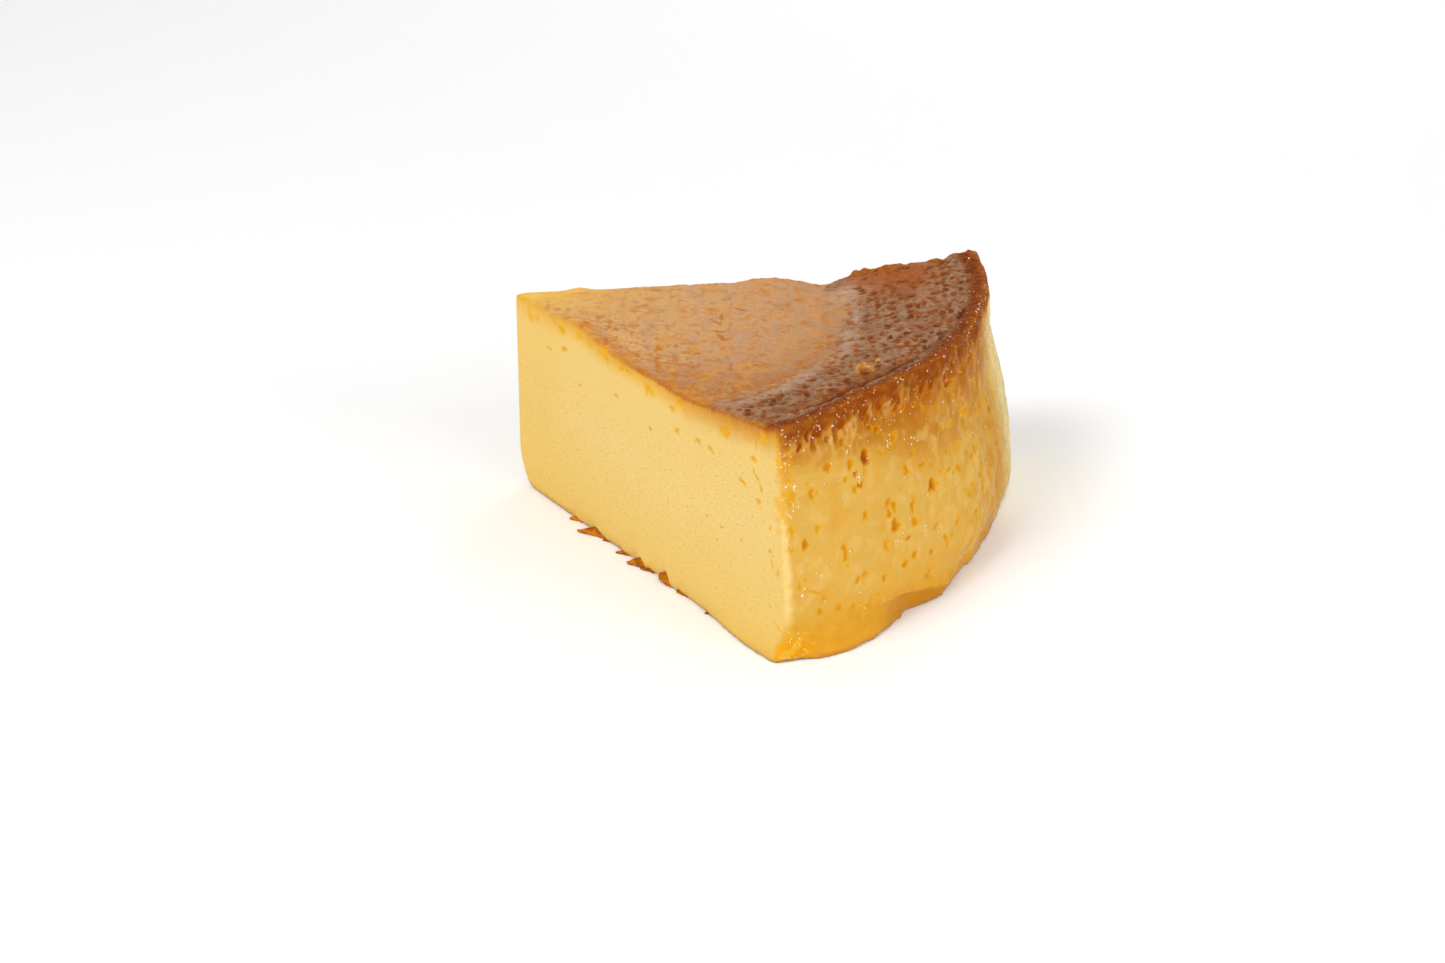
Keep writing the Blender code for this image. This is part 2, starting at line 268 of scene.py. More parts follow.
def oval(place, along, across, long, wide, only, raggedness):
    """One face's vertices round a place, and how far out of a ragged oval each is: 1 at its outline."""
    found = skin_tree.find_range(place, max(long, wide) * 0.85)
    near = np.array([index for _, index, _ in found if face[index] == only], int)
    away = points[near] - place
    out = np.hypot(away @ along / (long / 2), away @ across / (wide / 2))
    ragged = np.array([noise.noise(Vector(points[i]) / (0.45 * wide + 0.2 * MM)) for i in near])
    return near, out * (1.0 + raggedness * ragged)


def press(place, along, across, long, wide, depth, only, raggedness=0.3, lip=0.0):
    """Presses an oval hole of a length and a width into one face, its long side along a direction."""
    near, out = oval(place, along, across, long, wide, only, raggedness)
    sunk[near] = np.maximum(sunk[near], depth * (1.0 - smoothstep(out, 0.25, 1.0)))
    sunk[near] -= lip * bell(out, 1.15, 0.2) * (sunk[near] < 0.05 * MM)
    hollow[near] = np.maximum(hollow[near], 1.0 - smoothstep(out, 0.6, 1.05))


def find_skin(keys, which):
    """A look-up of the skin's points on one face, by a pair of numbers for each."""
    lookup = kdtree.KDTree(len(which))
    for index in which:
        lookup.insert((*keys[index], 0.0), int(index))
    lookup.balance()
    return lambda first, second: points[lookup.find((first, second, 0.0))[1]]


ARC = 108 * MM
top_at = find_skin(points[:, :2], np.flatnonzero(face == TOP))
wall_at = find_skin(np.stack([turn * ARC, height], 1), np.flatnonzero(face == WALL))


def on_the_top(reach, way):
    return top_at(*spot(reach, way, 0.0)[:2])


def directions(way, lean=0.0):
    """Two level directions at right angles, the first leaning from the way out of the tip."""
    along = np.array([math.cos(way + lean), math.sin(way + lean), 0.0])
    return along, np.array([-along[1], along[0], 0.0])


# Steam pits in the browned ring, between the dish and the rim: round, close, and each with a lip.
draw = random.Random(5)
RING_FROM, RING_TO = 74 * MM, 105 * MM
RING_PITS = 900
for _ in range(RING_PITS):
    reach = math.sqrt(draw.uniform(RING_FROM ** 2, RING_TO ** 2))
    way = draw.uniform(-HALF_ANGLE, HALF_ANGLE)
    wide = (0.7 + 1.5 * draw.random() ** 3) * MM
    along, across = directions(way, draw.uniform(0.0, math.pi))
    long = wide * draw.uniform(1.0, 1.5)
    press(on_the_top(reach, way), along, across, long, wide, wide * 0.22, TOP, 0.5, 0.04 * MM)

# The dish has fewer and softer pits, drawn out along its fibres, which run out from the tip.
DISH_PITS = 130
for _ in range(DISH_PITS):
    reach = math.sqrt(draw.uniform((26 * MM) ** 2, RING_FROM ** 2))
    way = draw.uniform(-HALF_ANGLE, HALF_ANGLE)
    wide = draw.uniform(0.6, 1.3) * MM
    along, across = directions(way, draw.uniform(-0.5, 0.5))
    long = wide * draw.uniform(1.2, 2.6)
    press(on_the_top(reach, way), along, across, long, wide, wide * 0.10, TOP, 0.5)

# A crease like a star in the dish, and the deep pits and folds that stand out in the ring.
# Radius in millimetres, turn and lean in degrees, length, width and depth in millimetres.
TOP_MARKS = (
    (53.2, -5.8, -39, 5.8, 1.3, 0.80),
    (51.8, -3.0, 20, 4.2, 1.1, 0.58),
    (48.5, 2.5, -40, 5.2, 1.1, 0.52),
    (48.4, 6.3, -70, 5.2, 1.1, 0.46),
    (51.5, 12.5, -28, 5.2, 1.1, 0.46),
    (61.0, 17.5, 0, 2.2, 1.8, 0.12),
    (63.4, 21.0, 60, 3.2, 1.6, 0.12),
    (70.6, 31.4, 80, 4.0, 1.6, 0.35),
    (69.2, -12.8, 80, 3.0, 1.2, 0.15),
    (68.0, -21.5, 90, 5.0, 1.0, 0.15),
    (82.0, -22.2, 20, 2.4, 1.3, 0.45),
    (82.0, -24.6, 0, 1.8, 1.4, 0.35),
    (91.6, -21.8, -35, 6.0, 1.5, 0.60),
    (92.0, -26.0, 20, 2.4, 1.2, 0.45),
    (90.6, -29.2, 0, 1.8, 1.0, 0.40),
    (90.2, -2.4, 60, 3.0, 1.3, 0.45),
    (88.6, -6.4, 60, 2.0, 1.0, 0.35),
    (84.0, -7.2, 60, 2.4, 1.1, 0.30),
    (79.0, 11.4, 60, 2.0, 1.2, 0.40),
    (77.6, 23.6, 60, 3.4, 2.4, 0.40),
    (84.2, 22.2, 80, 2.8, 1.0, 0.35),
    (95.0, 20.0, 80, 3.2, 1.2, 0.35),
    (100.2, 11.2, 88, 8.0, 1.8, 0.90),
    (99.0, 8.6, 70, 2.6, 1.0, 0.45),
    (96.6, 10.0, 70, 2.6, 1.0, 0.35),
    (93.0, 26.0, 70, 2.6, 1.3, 0.40),
)
for reach, degrees, lean, long, wide, depth in TOP_MARKS:
    way = math.radians(degrees)
    along, across = directions(way, math.radians(lean))
    press(on_the_top(reach * MM, way), along, across, long * MM, wide * MM, depth * MM, TOP, 0.6)

# Holes in the wall: those that stand out, then others drawn between them.
# Turn in degrees, height, width, length and depth in millimetres.
WALL_HOLES = (
    (-30.3, 46.0, 1.8, 2.4, 1.1),
    (-29.1, 47.5, 1.5, 2.0, 1.2),
    (-28.2, 46.6, 1.3, 1.8, 1.0),
    (-27.2, 47.3, 2.8, 2.6, 2.0),
    (-23.4, 46.7, 3.2, 3.2, 1.3),
    (-23.6, 43.0, 1.7, 2.2, 1.0),
    (-19.2, 46.4, 3.2, 3.8, 1.4),
    (-18.3, 43.1, 2.0, 2.4, 1.2),
    (-17.0, 41.8, 2.6, 1.8, 1.3),
    (-16.5, 46.6, 2.0, 2.6, 1.1),
    (-13.3, 46.8, 2.6, 3.8, 1.4),
    (-13.8, 44.2, 2.2, 2.2, 1.1),
    (-12.3, 43.6, 2.4, 2.2, 0.7),
    (-14.2, 38.9, 2.2, 2.2, 0.8),
    (-26.5, 39.1, 2.4, 2.4, 0.9),
    (-8.5, 46.6, 1.8, 3.6, 1.6),
    (-6.9, 46.4, 2.4, 3.6, 1.2),
    (-10.0, 43.1, 1.8, 1.6, 1.0),
    (-8.8, 42.8, 1.4, 1.4, 0.9),
    (-3.5, 45.6, 2.2, 2.6, 1.3),
    (-3.0, 43.4, 2.8, 1.8, 1.5),
    (-1.6, 47.2, 2.0, 1.8, 1.2),
    (-0.5, 44.4, 1.4, 2.2, 1.0),
    (-2.4, 40.3, 1.8, 1.4, 0.9),
    (1.1, 43.8, 1.8, 1.6, 0.9),
    (3.9, 45.2, 2.4, 2.8, 0.9),
    (3.4, 39.6, 3.2, 2.2, 0.8),
    (10.8, 41.4, 2.4, 2.2, 1.4),
    (-19.7, 37.3, 2.9, 3.3, 1.9),
    (-22.5, 37.6, 2.2, 2.8, 0.9),
    (-21.9, 35.4, 1.5, 1.8, 1.2),
    (-21.4, 33.0, 1.9, 1.6, 1.3),
    (-31.6, 35.7, 2.6, 4.4, 0.35),
    (-31.9, 39.6, 1.6, 2.4, 0.4),
    (-31.9, 29.3, 1.8, 2.2, 0.5),
    (-32.2, 25.2, 1.8, 2.0, 0.5),
    (-30.2, 25.2, 1.8, 2.0, 1.1),
    (-21.3, 26.8, 1.9, 2.8, 0.8),
    (-17.4, 26.8, 1.8, 1.9, 0.8),
    (-16.4, 25.2, 1.2, 3.0, 0.6),
    (-16.5, 21.6, 2.0, 3.6, 1.1),
    (-16.6, 20.6, 1.6, 1.4, 1.5),
    (-18.4, 18.2, 1.5, 2.6, 0.5),
    (-13.5, 20.5, 2.4, 2.4, 0.8),
    (-14.8, 17.9, 2.6, 1.2, 1.1),
    (-15.5, 12.4, 1.7, 2.2, 0.8),
    (-14.0, 13.4, 1.7, 2.2, 0.8),
    (-12.9, 25.5, 2.0, 1.6, 0.3),
    (-11.7, 33.7, 1.4, 2.2, 0.9),
    (-10.4, 30.4, 1.9, 1.3, 0.9),
    (-8.9, 29.6, 1.0, 1.0, 0.8),
    (-9.1, 25.5, 2.0, 2.9, 1.5),
    (-8.2, 25.5, 1.4, 1.2, 0.5),
    (-9.5, 16.8, 1.8, 0.9, 0.9),
    (-10.8, 12.1, 1.7, 1.7, 0.8),
    (-5.0, 14.3, 2.8, 2.4, 0.6),
    (-6.3, 12.2, 1.9, 1.1, 0.6),
    (-5.9, 26.8, 2.2, 1.1, 0.7),
    (-7.4, 27.5, 1.5, 0.9, 0.7),
    (-3.5, 25.4, 3.0, 1.6, 0.6),
    (-4.7, 25.6, 1.5, 1.5, 0.6),
    (-3.4, 29.4, 3.4, 1.4, 0.5),
    (-3.6, 35.4, 3.2, 2.2, 0.4),
    (-0.4, 13.6, 2.5, 1.4, 0.8),
    (-1.5, 18.1, 1.7, 3.2, 0.5),
    (-0.8, 19.8, 1.2, 1.6, 0.7),
    (0.5, 25.5, 2.2, 2.6, 0.7),
    (1.7, 20.3, 3.2, 1.9, 0.6),
    (0.8, 35.2, 4.6, 2.4, 0.5),
    (4.0, 26.0, 2.6, 2.0, 0.6),
    (4.8, 18.4, 2.2, 2.4, 0.6),
    (4.2, 32.5, 1.6, 2.2, 1.1),
    (5.9, 32.9, 3.4, 3.8, 0.6),
    (9.0, 29.4, 2.4, 1.6, 1.1),
    (10.6, 17.7, 2.6, 4.4, 0.6),
    (7.8, 14.6, 2.4, 2.8, 0.9),
    (-23.3, 14.2, 1.5, 2.2, 0.7),
    (-22.0, 14.4, 2.0, 2.2, 0.5),
    (-26.0, 9.9, 1.6, 2.1, 0.6),
    (-24.1, 8.7, 1.1, 2.6, 0.6),
    (-27.9, 13.4, 1.8, 0.7, 0.6),
    (-21.8, 7.6, 2.6, 1.2, 0.5),
    (-20.4, 9.2, 2.4, 1.1, 0.5),
    (-23.2, 6.8, 1.2, 1.8, 0.5),
)
# The pale skin of the drips that hang from the rim, and a smooth patch of it to their right.
# Turn in degrees, height, width and length in millimetres.
PALE_DRIPS = (
    (-25.4, 45.0, 1.4, 5.0),
    (-21.4, 45.6, 2.6, 5.6),
    (-17.7, 47.0, 1.6, 3.6),
    (-15.0, 46.2, 1.8, 4.4),
    (-11.0, 46.6, 2.2, 3.4),
    (-7.7, 46.6, 1.0, 4.0),
    (-5.4, 46.2, 1.8, 4.4),
    (2.4, 46.0, 4.6, 4.4),
    (7.2, 44.6, 1.4, 6.0),
    (10.0, 43.0, 2.4, 8.0),
    (14.0, 43.0, 3.0, 9.0),
    (18.0, 43.0, 2.4, 8.0),
    (-28.2, 42.6, 4.4, 2.8),
    (-12.6, 39.0, 2.0, 1.6),
    (-22.8, 40.0, 2.6, 3.0),
)


def wall_directions(way, lean=0.0):
    """Up the wall and round it, both turned by a lean."""
    level = np.array([-math.sin(way), math.cos(way), 0.0])
    along = UP * math.cos(lean) + level * math.sin(lean)
    return along, level * math.cos(lean) - UP * math.sin(lean)


HOLE_SPREAD, DRIP_SPREAD = 1.2 * MM, 1.3 * MM
for degrees, up, wide, long, depth in WALL_HOLES:
    way = math.radians(degrees)
    along, across = wall_directions(way, math.radians(draw.uniform(-20, 20)))
    place = wall_at(way * ARC, up * MM)
    press(place, along, across, long * HOLE_SPREAD, wide * HOLE_SPREAD, depth * MM, WALL, 0.8, 0.06 * MM)
for degrees, up, wide, long in PALE_DRIPS:
    way = math.radians(degrees)
    along, across = wall_directions(way, math.radians(draw.uniform(-8, 8)))
    place = wall_at(way * ARC, up * MM)
    near, out = oval(place, along, across, long * DRIP_SPREAD, wide * DRIP_SPREAD, WALL, 0.7)
    webs[near] = np.maximum(webs[near], 1.0 - smoothstep(out, 0.1, 1.1))
MORE_WALL_HOLES = 230
for _ in range(MORE_WALL_HOLES):
    way = HALF_ANGLE * (1.0 - 2.0 * draw.random() ** 1.8)
    up = draw.uniform(4, 38) * MM
    wide = (0.6 + 1.4 * draw.random() ** 2.2) * MM
    along, across = wall_directions(way, draw.uniform(-0.5, 0.5))
    place = wall_at(way * ARC, up)
    press(place, along, across, wide * draw.uniform(0.8, 2.2), wide, wide * 0.45, WALL, 0.9, 0.03 * MM)

# A short tear low on the wall, by the near cut.
TEAR_TURN, TEAR_LEAN = math.radians(-29.5), math.radians(-66.0)
along, across = wall_directions(TEAR_TURN, TEAR_LEAN)
press(wall_at(TEAR_TURN * ARC, 15.3 * MM), along, across, 4.6 * MM, 0.8 * MM, 0.5 * MM, WALL, 0.5)

for place, (_, _, long, wide, degrees) in zip(slot_places, CUT_SLOTS):
    lean = math.radians(degrees)
    along = cut_along * math.cos(lean) + UP * math.sin(lean)
    across = UP * math.cos(lean) - cut_along * math.sin(lean)
    press(place, along, across, long * MM, wide * MM * 1.4, 0.3 * MM, NEAR, 0.7)


def noise_at(place, size, stretch=(1.0, 1.0, 1.0)):
    """Smooth noise from -1 to 1 whose lumps are a size across."""
    return noise.noise(Vector([c / (size * s) for c, s in zip(place, stretch)]))


# The tip is rounded off. All that rises out of the skin or sinks into it adds up here.
TIP_FALL, TIP_ROUND = 0.7 * MM, 1.1 * MM
rise = -TIP_FALL * bell(radius, 0.0, TIP_ROUND) * on_top
turn_degrees = np.degrees(turn)

# The browned ring starts at a fold that wanders round the slice, and a groove runs inside the rim.
# Turn in degrees, and radius or depth in millimetres.
FOLD = (
    (-33, 81.5),
    (-26, 83.5),
    (-16, 83.0),
    (-9, 81.5),
    (-2, 79.0),
    (6, 77.0),
    (13, 75.0),
    (20, 74.5),
    (27, 72.5),
    (33, 69.0),
)
GROOVE = ((-28, 96.4), (-26, 98.0), (-20, 98.5), (-13, 97.9), (-8, 98.2), (0, 99.3), (9, 100.4), (14, 100.6))
GROOVE_DEPTH = ((-28, 0.0), (-26, 0.8), (-12, 0.8), (-8, 0.7), (-3, 0.3), (8, 0.3), (14, 0.0))
wander = np.array([noise.noise(Vector(p) / (6 * MM)) for p in points]) * 2.4 * MM
past_fold = radius + wander - np.interp(turn_degrees, *zip(*FOLD)) * MM
ring = smoothstep(past_fold, -6.0 * MM, 5.0 * MM)
rim = smoothstep(radius + 0.4 * wander, 99.5 * MM, 102.0 * MM)
past_groove = radius + 0.2 * wander - np.interp(turn_degrees, *zip(*GROOVE)) * MM
groove = bell(past_groove, 0.0, 0.6 * MM) * np.interp(turn_degrees, *zip(*GROOVE_DEPTH)) * on_top
rise -= groove * MM
# Between the groove and the webs of the ring the skin is rust brown.
rust = smoothstep(past_groove, -5.0 * MM, -1.2 * MM) * (1.0 - smoothstep(past_groove, -0.1 * MM, 0.5 * MM))
rust *= bell(turn_degrees, -17.0, 11.0) * on_top
# A painted sheen: a grey haze stands in for the reflection of a light behind the slice, along the fold and
# widest at the moat.
PAINTED_SHEEN_PLACE = spot(74.0 * MM, math.radians(25.0), 0.0)
haze = 0.75 * bell(past_fold, 1.0 * MM, 2.0 * MM)
haze = np.maximum(haze, 0.8 * bell(np.hypot(*(points - PAINTED_SHEEN_PLACE)[:, :2].T), 0.0, 5.5 * MM)) * on_top

# The skin of the top: fibres and wrinkles in the dish, foam that burst and browned in the ring,
# and uneven edges along the rim and the cuts. Near the tip it is smooth.
# Lumps and one dip stand out on the far edge: radius, height and width of each in millimetres.
EDGE_LUMPS = (
    (14.4, 1.0, 2.6),
    (77.2, 1.0, 1.1),
    (79.5, 1.1, 0.8),
    (84.0, 0.5, 2.6),
    (95.7, 0.4, 0.5),
    (97.2, -0.7, 0.6),
    (99.8, 0.9, 1.3),
)
by_near_edge = 1.0 - smoothstep(from_near, 0.0, 2.0 * MM)
by_far_edge = 1.0 - smoothstep(from_far, 0.4 * MM, 2.2 * MM)
for index in np.flatnonzero(on_top > 0.02):
    p = points[index]
    polar = (radius[index], turn[index] * radius[index], 0.0)
    fibre = noise_at(polar, 1.9 * MM, (4.0, 1.0, 1.0)) + 0.6 * noise_at(polar, 1.0 * MM, (3.0, 1.0, 1.0))
    hair = 1.0 - abs(noise_at(polar, 2.6 * MM, (0.7, 1.6, 1.0)))
    coarse = noise_at(p, 4.0 * MM)
    fine = noise_at(p, 1.1 * MM)
    gaps = noise.voronoi(Vector((p[0], p[1], 0.0)) / (1.5 * MM))[0]
    foam = 1.0 - smoothstep(gaps[1] - gaps[0], 0.04, 0.38)
    smooth_patch = smoothstep(noise_at(p, 7.0 * MM), -0.1, 0.35)
    dish_rise = 0.04 * fibre + 0.16 * coarse + 0.03 * fine + 0.10 * (hair - 0.8)
    ring_rise = 0.20 * coarse + 0.05 * fine + (foam - 0.4) * (0.12 - 0.08 * smooth_patch)
    rim_rise = 0.30 * fine + 0.14 * coarse + 0.10 * noise_at(p, 0.6 * MM)
    rough = dish_rise + (ring_rise - dish_rise) * ring[index]
    rough += (rim_rise - rough) * rim[index]
    webs[index] = foam * ring[index] * (1.0 - 0.6 * smooth_patch) * (1.0 - rim[index])
    edge_wave = 0.5 * noise_at(polar, 3.2 * MM, (1.0, 99.0, 1.0)) + 0.3 * noise_at(polar, 1.1 * MM)
    rough += edge_wave * max(by_near_edge[index] * 0.8, by_far_edge[index])
    rough *= 0.15 + 0.85 * smoothstep(radius[index], 10.0 * MM, 44.0 * MM)
    for reach, tall, wide in EDGE_LUMPS:
        rough += tall * by_far_edge[index] * bell(radius[index], reach * MM, wide * MM)
    rise[index] += on_top[index] * rough * MM

# The wall: cells like drips hang below the rim with thin webs between, the skin sags and dents
# beneath, and a ledge crosses the foot where the skin folded over as the flan was turned out.
# The ledge is given by turn in degrees and height in millimetres.
CELLS_END = 11.0 * MM
cells = np.zeros(len(points))
LEDGE = ((-24.0, 8.2), (-21.9, 7.4), (-18.1, 6.1), (-14.7, 4.9), (-10.4, 3.4), (-6.3, 1.0), (-4.0, 0.4))
ledge_height = np.interp(turn_degrees, *zip(*LEDGE)) * MM
by_ledge = smoothstep(turn_degrees, -22.0, -15.0)
ledge_depth = 0.35 * by_ledge
for index in np.flatnonzero(on_wall > 0.02):
    round_wall = turn[index] * ARC
    p = (round_wall, height[index], 0.0)
    reach_down = CELLS_END * (0.75 + 0.5 * noise_at(p, 9.0 * MM))
    band = 1.0 - smoothstep(drop[index], 0.55 * reach_down, reach_down)
    shrink = 1.0 + 0.5 * smoothstep(turn[index], -0.3, 0.3)
    cell = Vector((round_wall / (2.3 * MM) * shrink, height[index] / (5.2 * MM), 0.0))
    cell.x += 0.4 * noise_at(p, 1.6 * MM)
    gaps, centres = noise.voronoi(cell)
    middle = noise.cell(centres[0] * 7.31)
    inside = smoothstep(gaps[1] - gaps[0], 0.10, 0.45) * band * (abs(middle) > 0.3)
    cells[index] = inside * on_wall[index] * (0.5 + 0.5 * abs(middle))
    webs[index] += (1.0 - smoothstep(gaps[1] - gaps[0], 0.04, 0.2)) * band * on_wall[index]
    sag = noise_at(p, 3.6 * MM, (1.0, 3.2, 1.0))
    dent = noise_at(p, 7.5 * MM)
    ripple = noise_at(p, 2.6 * MM)
    fine = noise_at(p, 1.0 * MM)
    right = 0.5 + 0.5 * smoothstep(turn[index], -0.25, 0.0) - 0.9 * smoothstep(turn[index], 0.0, 0.32)
    rough = 0.24 * sag * right + 0.55 * dent + 0.16 * ripple + 0.02 * fine
    rough += 0.35 * noise_at((height[index], 0.0, 0.0), 3.0 * MM) * bell(from_near[index], 0.0, 1.6 * MM)
    rough += 0.12 * webs[index] - 0.30 * cells[index]
    under = smoothstep(ledge_height[index] - height[index], -0.2 * MM, 0.9 * MM)
    rise[index] += on_wall[index] * (rough - ledge_depth[index] * under) * MM

# The corner at the foot of the near cut tore off when the slice was lifted, and left coarse crumb.
TORN_ALONG_WALL, TORN_ALONG_CUT, TORN_HEIGHT = 8.0 * MM, 3.2 * MM, 7.0 * MM
corner = radius[(face == WALL) & (from_near < 1.0 * MM) & (height < TORN_HEIGHT)].max()
torn = np.sqrt(
    (np.maximum(turn + HALF_ANGLE, 0.0) * ARC / TORN_ALONG_WALL) ** 2
    + (np.maximum(corner - radius, 0.0) * (face == NEAR) / TORN_ALONG_CUT) ** 2
    + (height / TORN_HEIGHT) ** 2
)
torn *= 1.0 + 0.25 * np.array([noise_at(p, 2.2 * MM) for p in points])
torn = 1.0 - smoothstep(torn, 0.85, 1.05)
for index in np.flatnonzero(torn > 0.01):
    crumb = noise_at(points[index], 1.0 * MM) + 0.6 * noise_at(points[index], 2.1 * MM)
    rise[index] += torn[index] * (0.30 * crumb - 0.4) * MM

# Under the skin at the tip the custard took up syrup and turned golden: patches along the edge.
# Radius and height of the middle of each, then its length and how tall it is, in millimetres.
GOLDEN_PATCHES = (
    (2.5, 45.0, 6.0, 2.6),
    (6.2, 44.8, 4.0, 2.2),
    (9.8, 45.2, 4.6, 1.8),
    (7.2, 42.1, 5.2, 2.6),
    (9.8, 43.0, 3.0, 1.8),
    (17.6, 44.9, 4.0, 1.9),
    (20.8, 43.8, 4.6, 2.0),
    (28.6, 44.8, 5.0, 2.8),
    (33.5, 44.2, 4.6, 2.0),
    (39.5, 44.4, 5.6, 3.4),
    (46.8, 44.0, 5.0, 2.6),
    (51.5, 45.0, 5.0, 1.6),
    (57.0, 42.4, 4.2, 3.4),
    (69.6, 43.8, 5.0, 2.6),
    (87.4, 43.6, 5.4, 3.2),
)
golden = np.zeros(len(points))
near_skin = np.flatnonzero((on_near > 0.02) & (height > 38 * MM))
ragged = [noise_at(points[index], 1.7 * MM) + 0.5 * noise_at(points[index], 0.8 * MM) for index in near_skin]
for reach, up, long, tall in GOLDEN_PATCHES:
    out = np.hypot((radius[near_skin] / MM - reach) / (long / 2), (height[near_skin] / MM - up) / (tall / 2))
    out *= 1.0 + 0.6 * np.array(ragged)
    golden[near_skin] = np.maximum(golden[near_skin], 1.0 - smoothstep(out, 0.2, 1.2))

# Holes are filled with syrup for the most part, so those in the wall are shallower than they look.
OPEN_SHARE = 0.35
relief = averaged(sunk, 1)[:, 0] * np.where(face == WALL, OPEN_SHARE, 1.0)
points = points + normals * (rise - relief)[:, None]
points[:, 2] = np.maximum(points[:, 2], 0.0)
write_points(flan.data, points)
normals = read_points(flan.data, "normal")
cavity = ((averaged(points, 10) - points) * normals).sum(1)

# What the materials read of each vertex: shares from 0 to 1, degrees, and lengths in millimetres.
FOR_THE_MATERIALS = {
    "on_top": on_top,
    "on_wall": on_wall,
    "on_cut": on_near + on_far,
    "on_base": on_base,
    "reach": radius / MM,
    "turn": turn_degrees,
    "height": height / MM,
    "drop": drop / MM,
    "hollow": hollow,
    "depth": sunk / MM,
    "cavity": cavity / MM,
    "cells": cells,
    "webs": webs,
    "torn": torn,
    "golden": golden,
    "under_ledge": smoothstep(ledge_height - height, -0.3 * MM, 0.5 * MM) * by_ledge,
    "ring": ring,
    "rim": rim,
    "groove": groove,
    "haze": haze,
    "rust": rust,
}
for name, values in FOR_THE_MATERIALS.items():
    attribute = flan.data.attributes.new(name, "FLOAT", "POINT")
    attribute.data.foreach_set("value", values.astype(np.float32))

# The base and the far cut are plain, so they need few faces, and the near cut needs fewer than
# the skin of the top and the wall. What the slots and pores need is kept.
PLAIN_FACES_PER_MM2 = 1.3
CUT_FACES_PER_MM2 = 4.6
SKIN_FACES_PER_MM2 = 8.5


def thin_out(chosen, per_mm2):
    """Collapses edges between the chosen vertices until about so many faces are left to a mm2."""
    mesh = flan.data
    group = flan.vertex_groups.new(name="thinned")
    group.add([int(index) for index in np.flatnonzero(chosen)], 1.0, "REPLACE")
    inside = [p for p in mesh.polygons if all(chosen[v] for v in p.vertices)]
    wanted = sum(p.area for p in inside) / MM ** 2 * per_mm2
    ratio = 1.0 - (len(inside) - wanted) / len(mesh.polygons)
    apply_modifier(flan, "DECIMATE", ratio=ratio, vertex_group=group.name, vertex_group_factor=1.0)
    flan.vertex_groups.remove(flan.vertex_groups["thinned"])


def kept(name):
    """What the mesh, as it now is, keeps under a name."""
    values = np.empty(len(flan.data.vertices), np.float32)
    flan.data.attributes[name].data.foreach_get("value", values)
    return values


thin_out(((on_far > 0.98) | (on_base > 0.98)) & (hollow < 0.01), PLAIN_FACES_PER_MM2)
thin_out((kept("on_cut") > 0.98) & (kept("hollow") < 0.01) & (kept("turn") < 0.0), CUT_FACES_PER_MM2)
thin_out(kept("on_top") + kept("on_wall") > 0.98, SKIN_FACES_PER_MM2)
flan.data.shade_smooth()


def tint(red, green, blue):
    """A colour given as sRGB, from 0 to 255, for a shader's socket."""
    shares = [value / 255 for value in (red, green, blue)]
    linear = [s / 12.92 if s <= 0.04045 else ((s + 0.055) / 1.055) ** 2.4 for s in shares]
    return (*linear, 1.0)


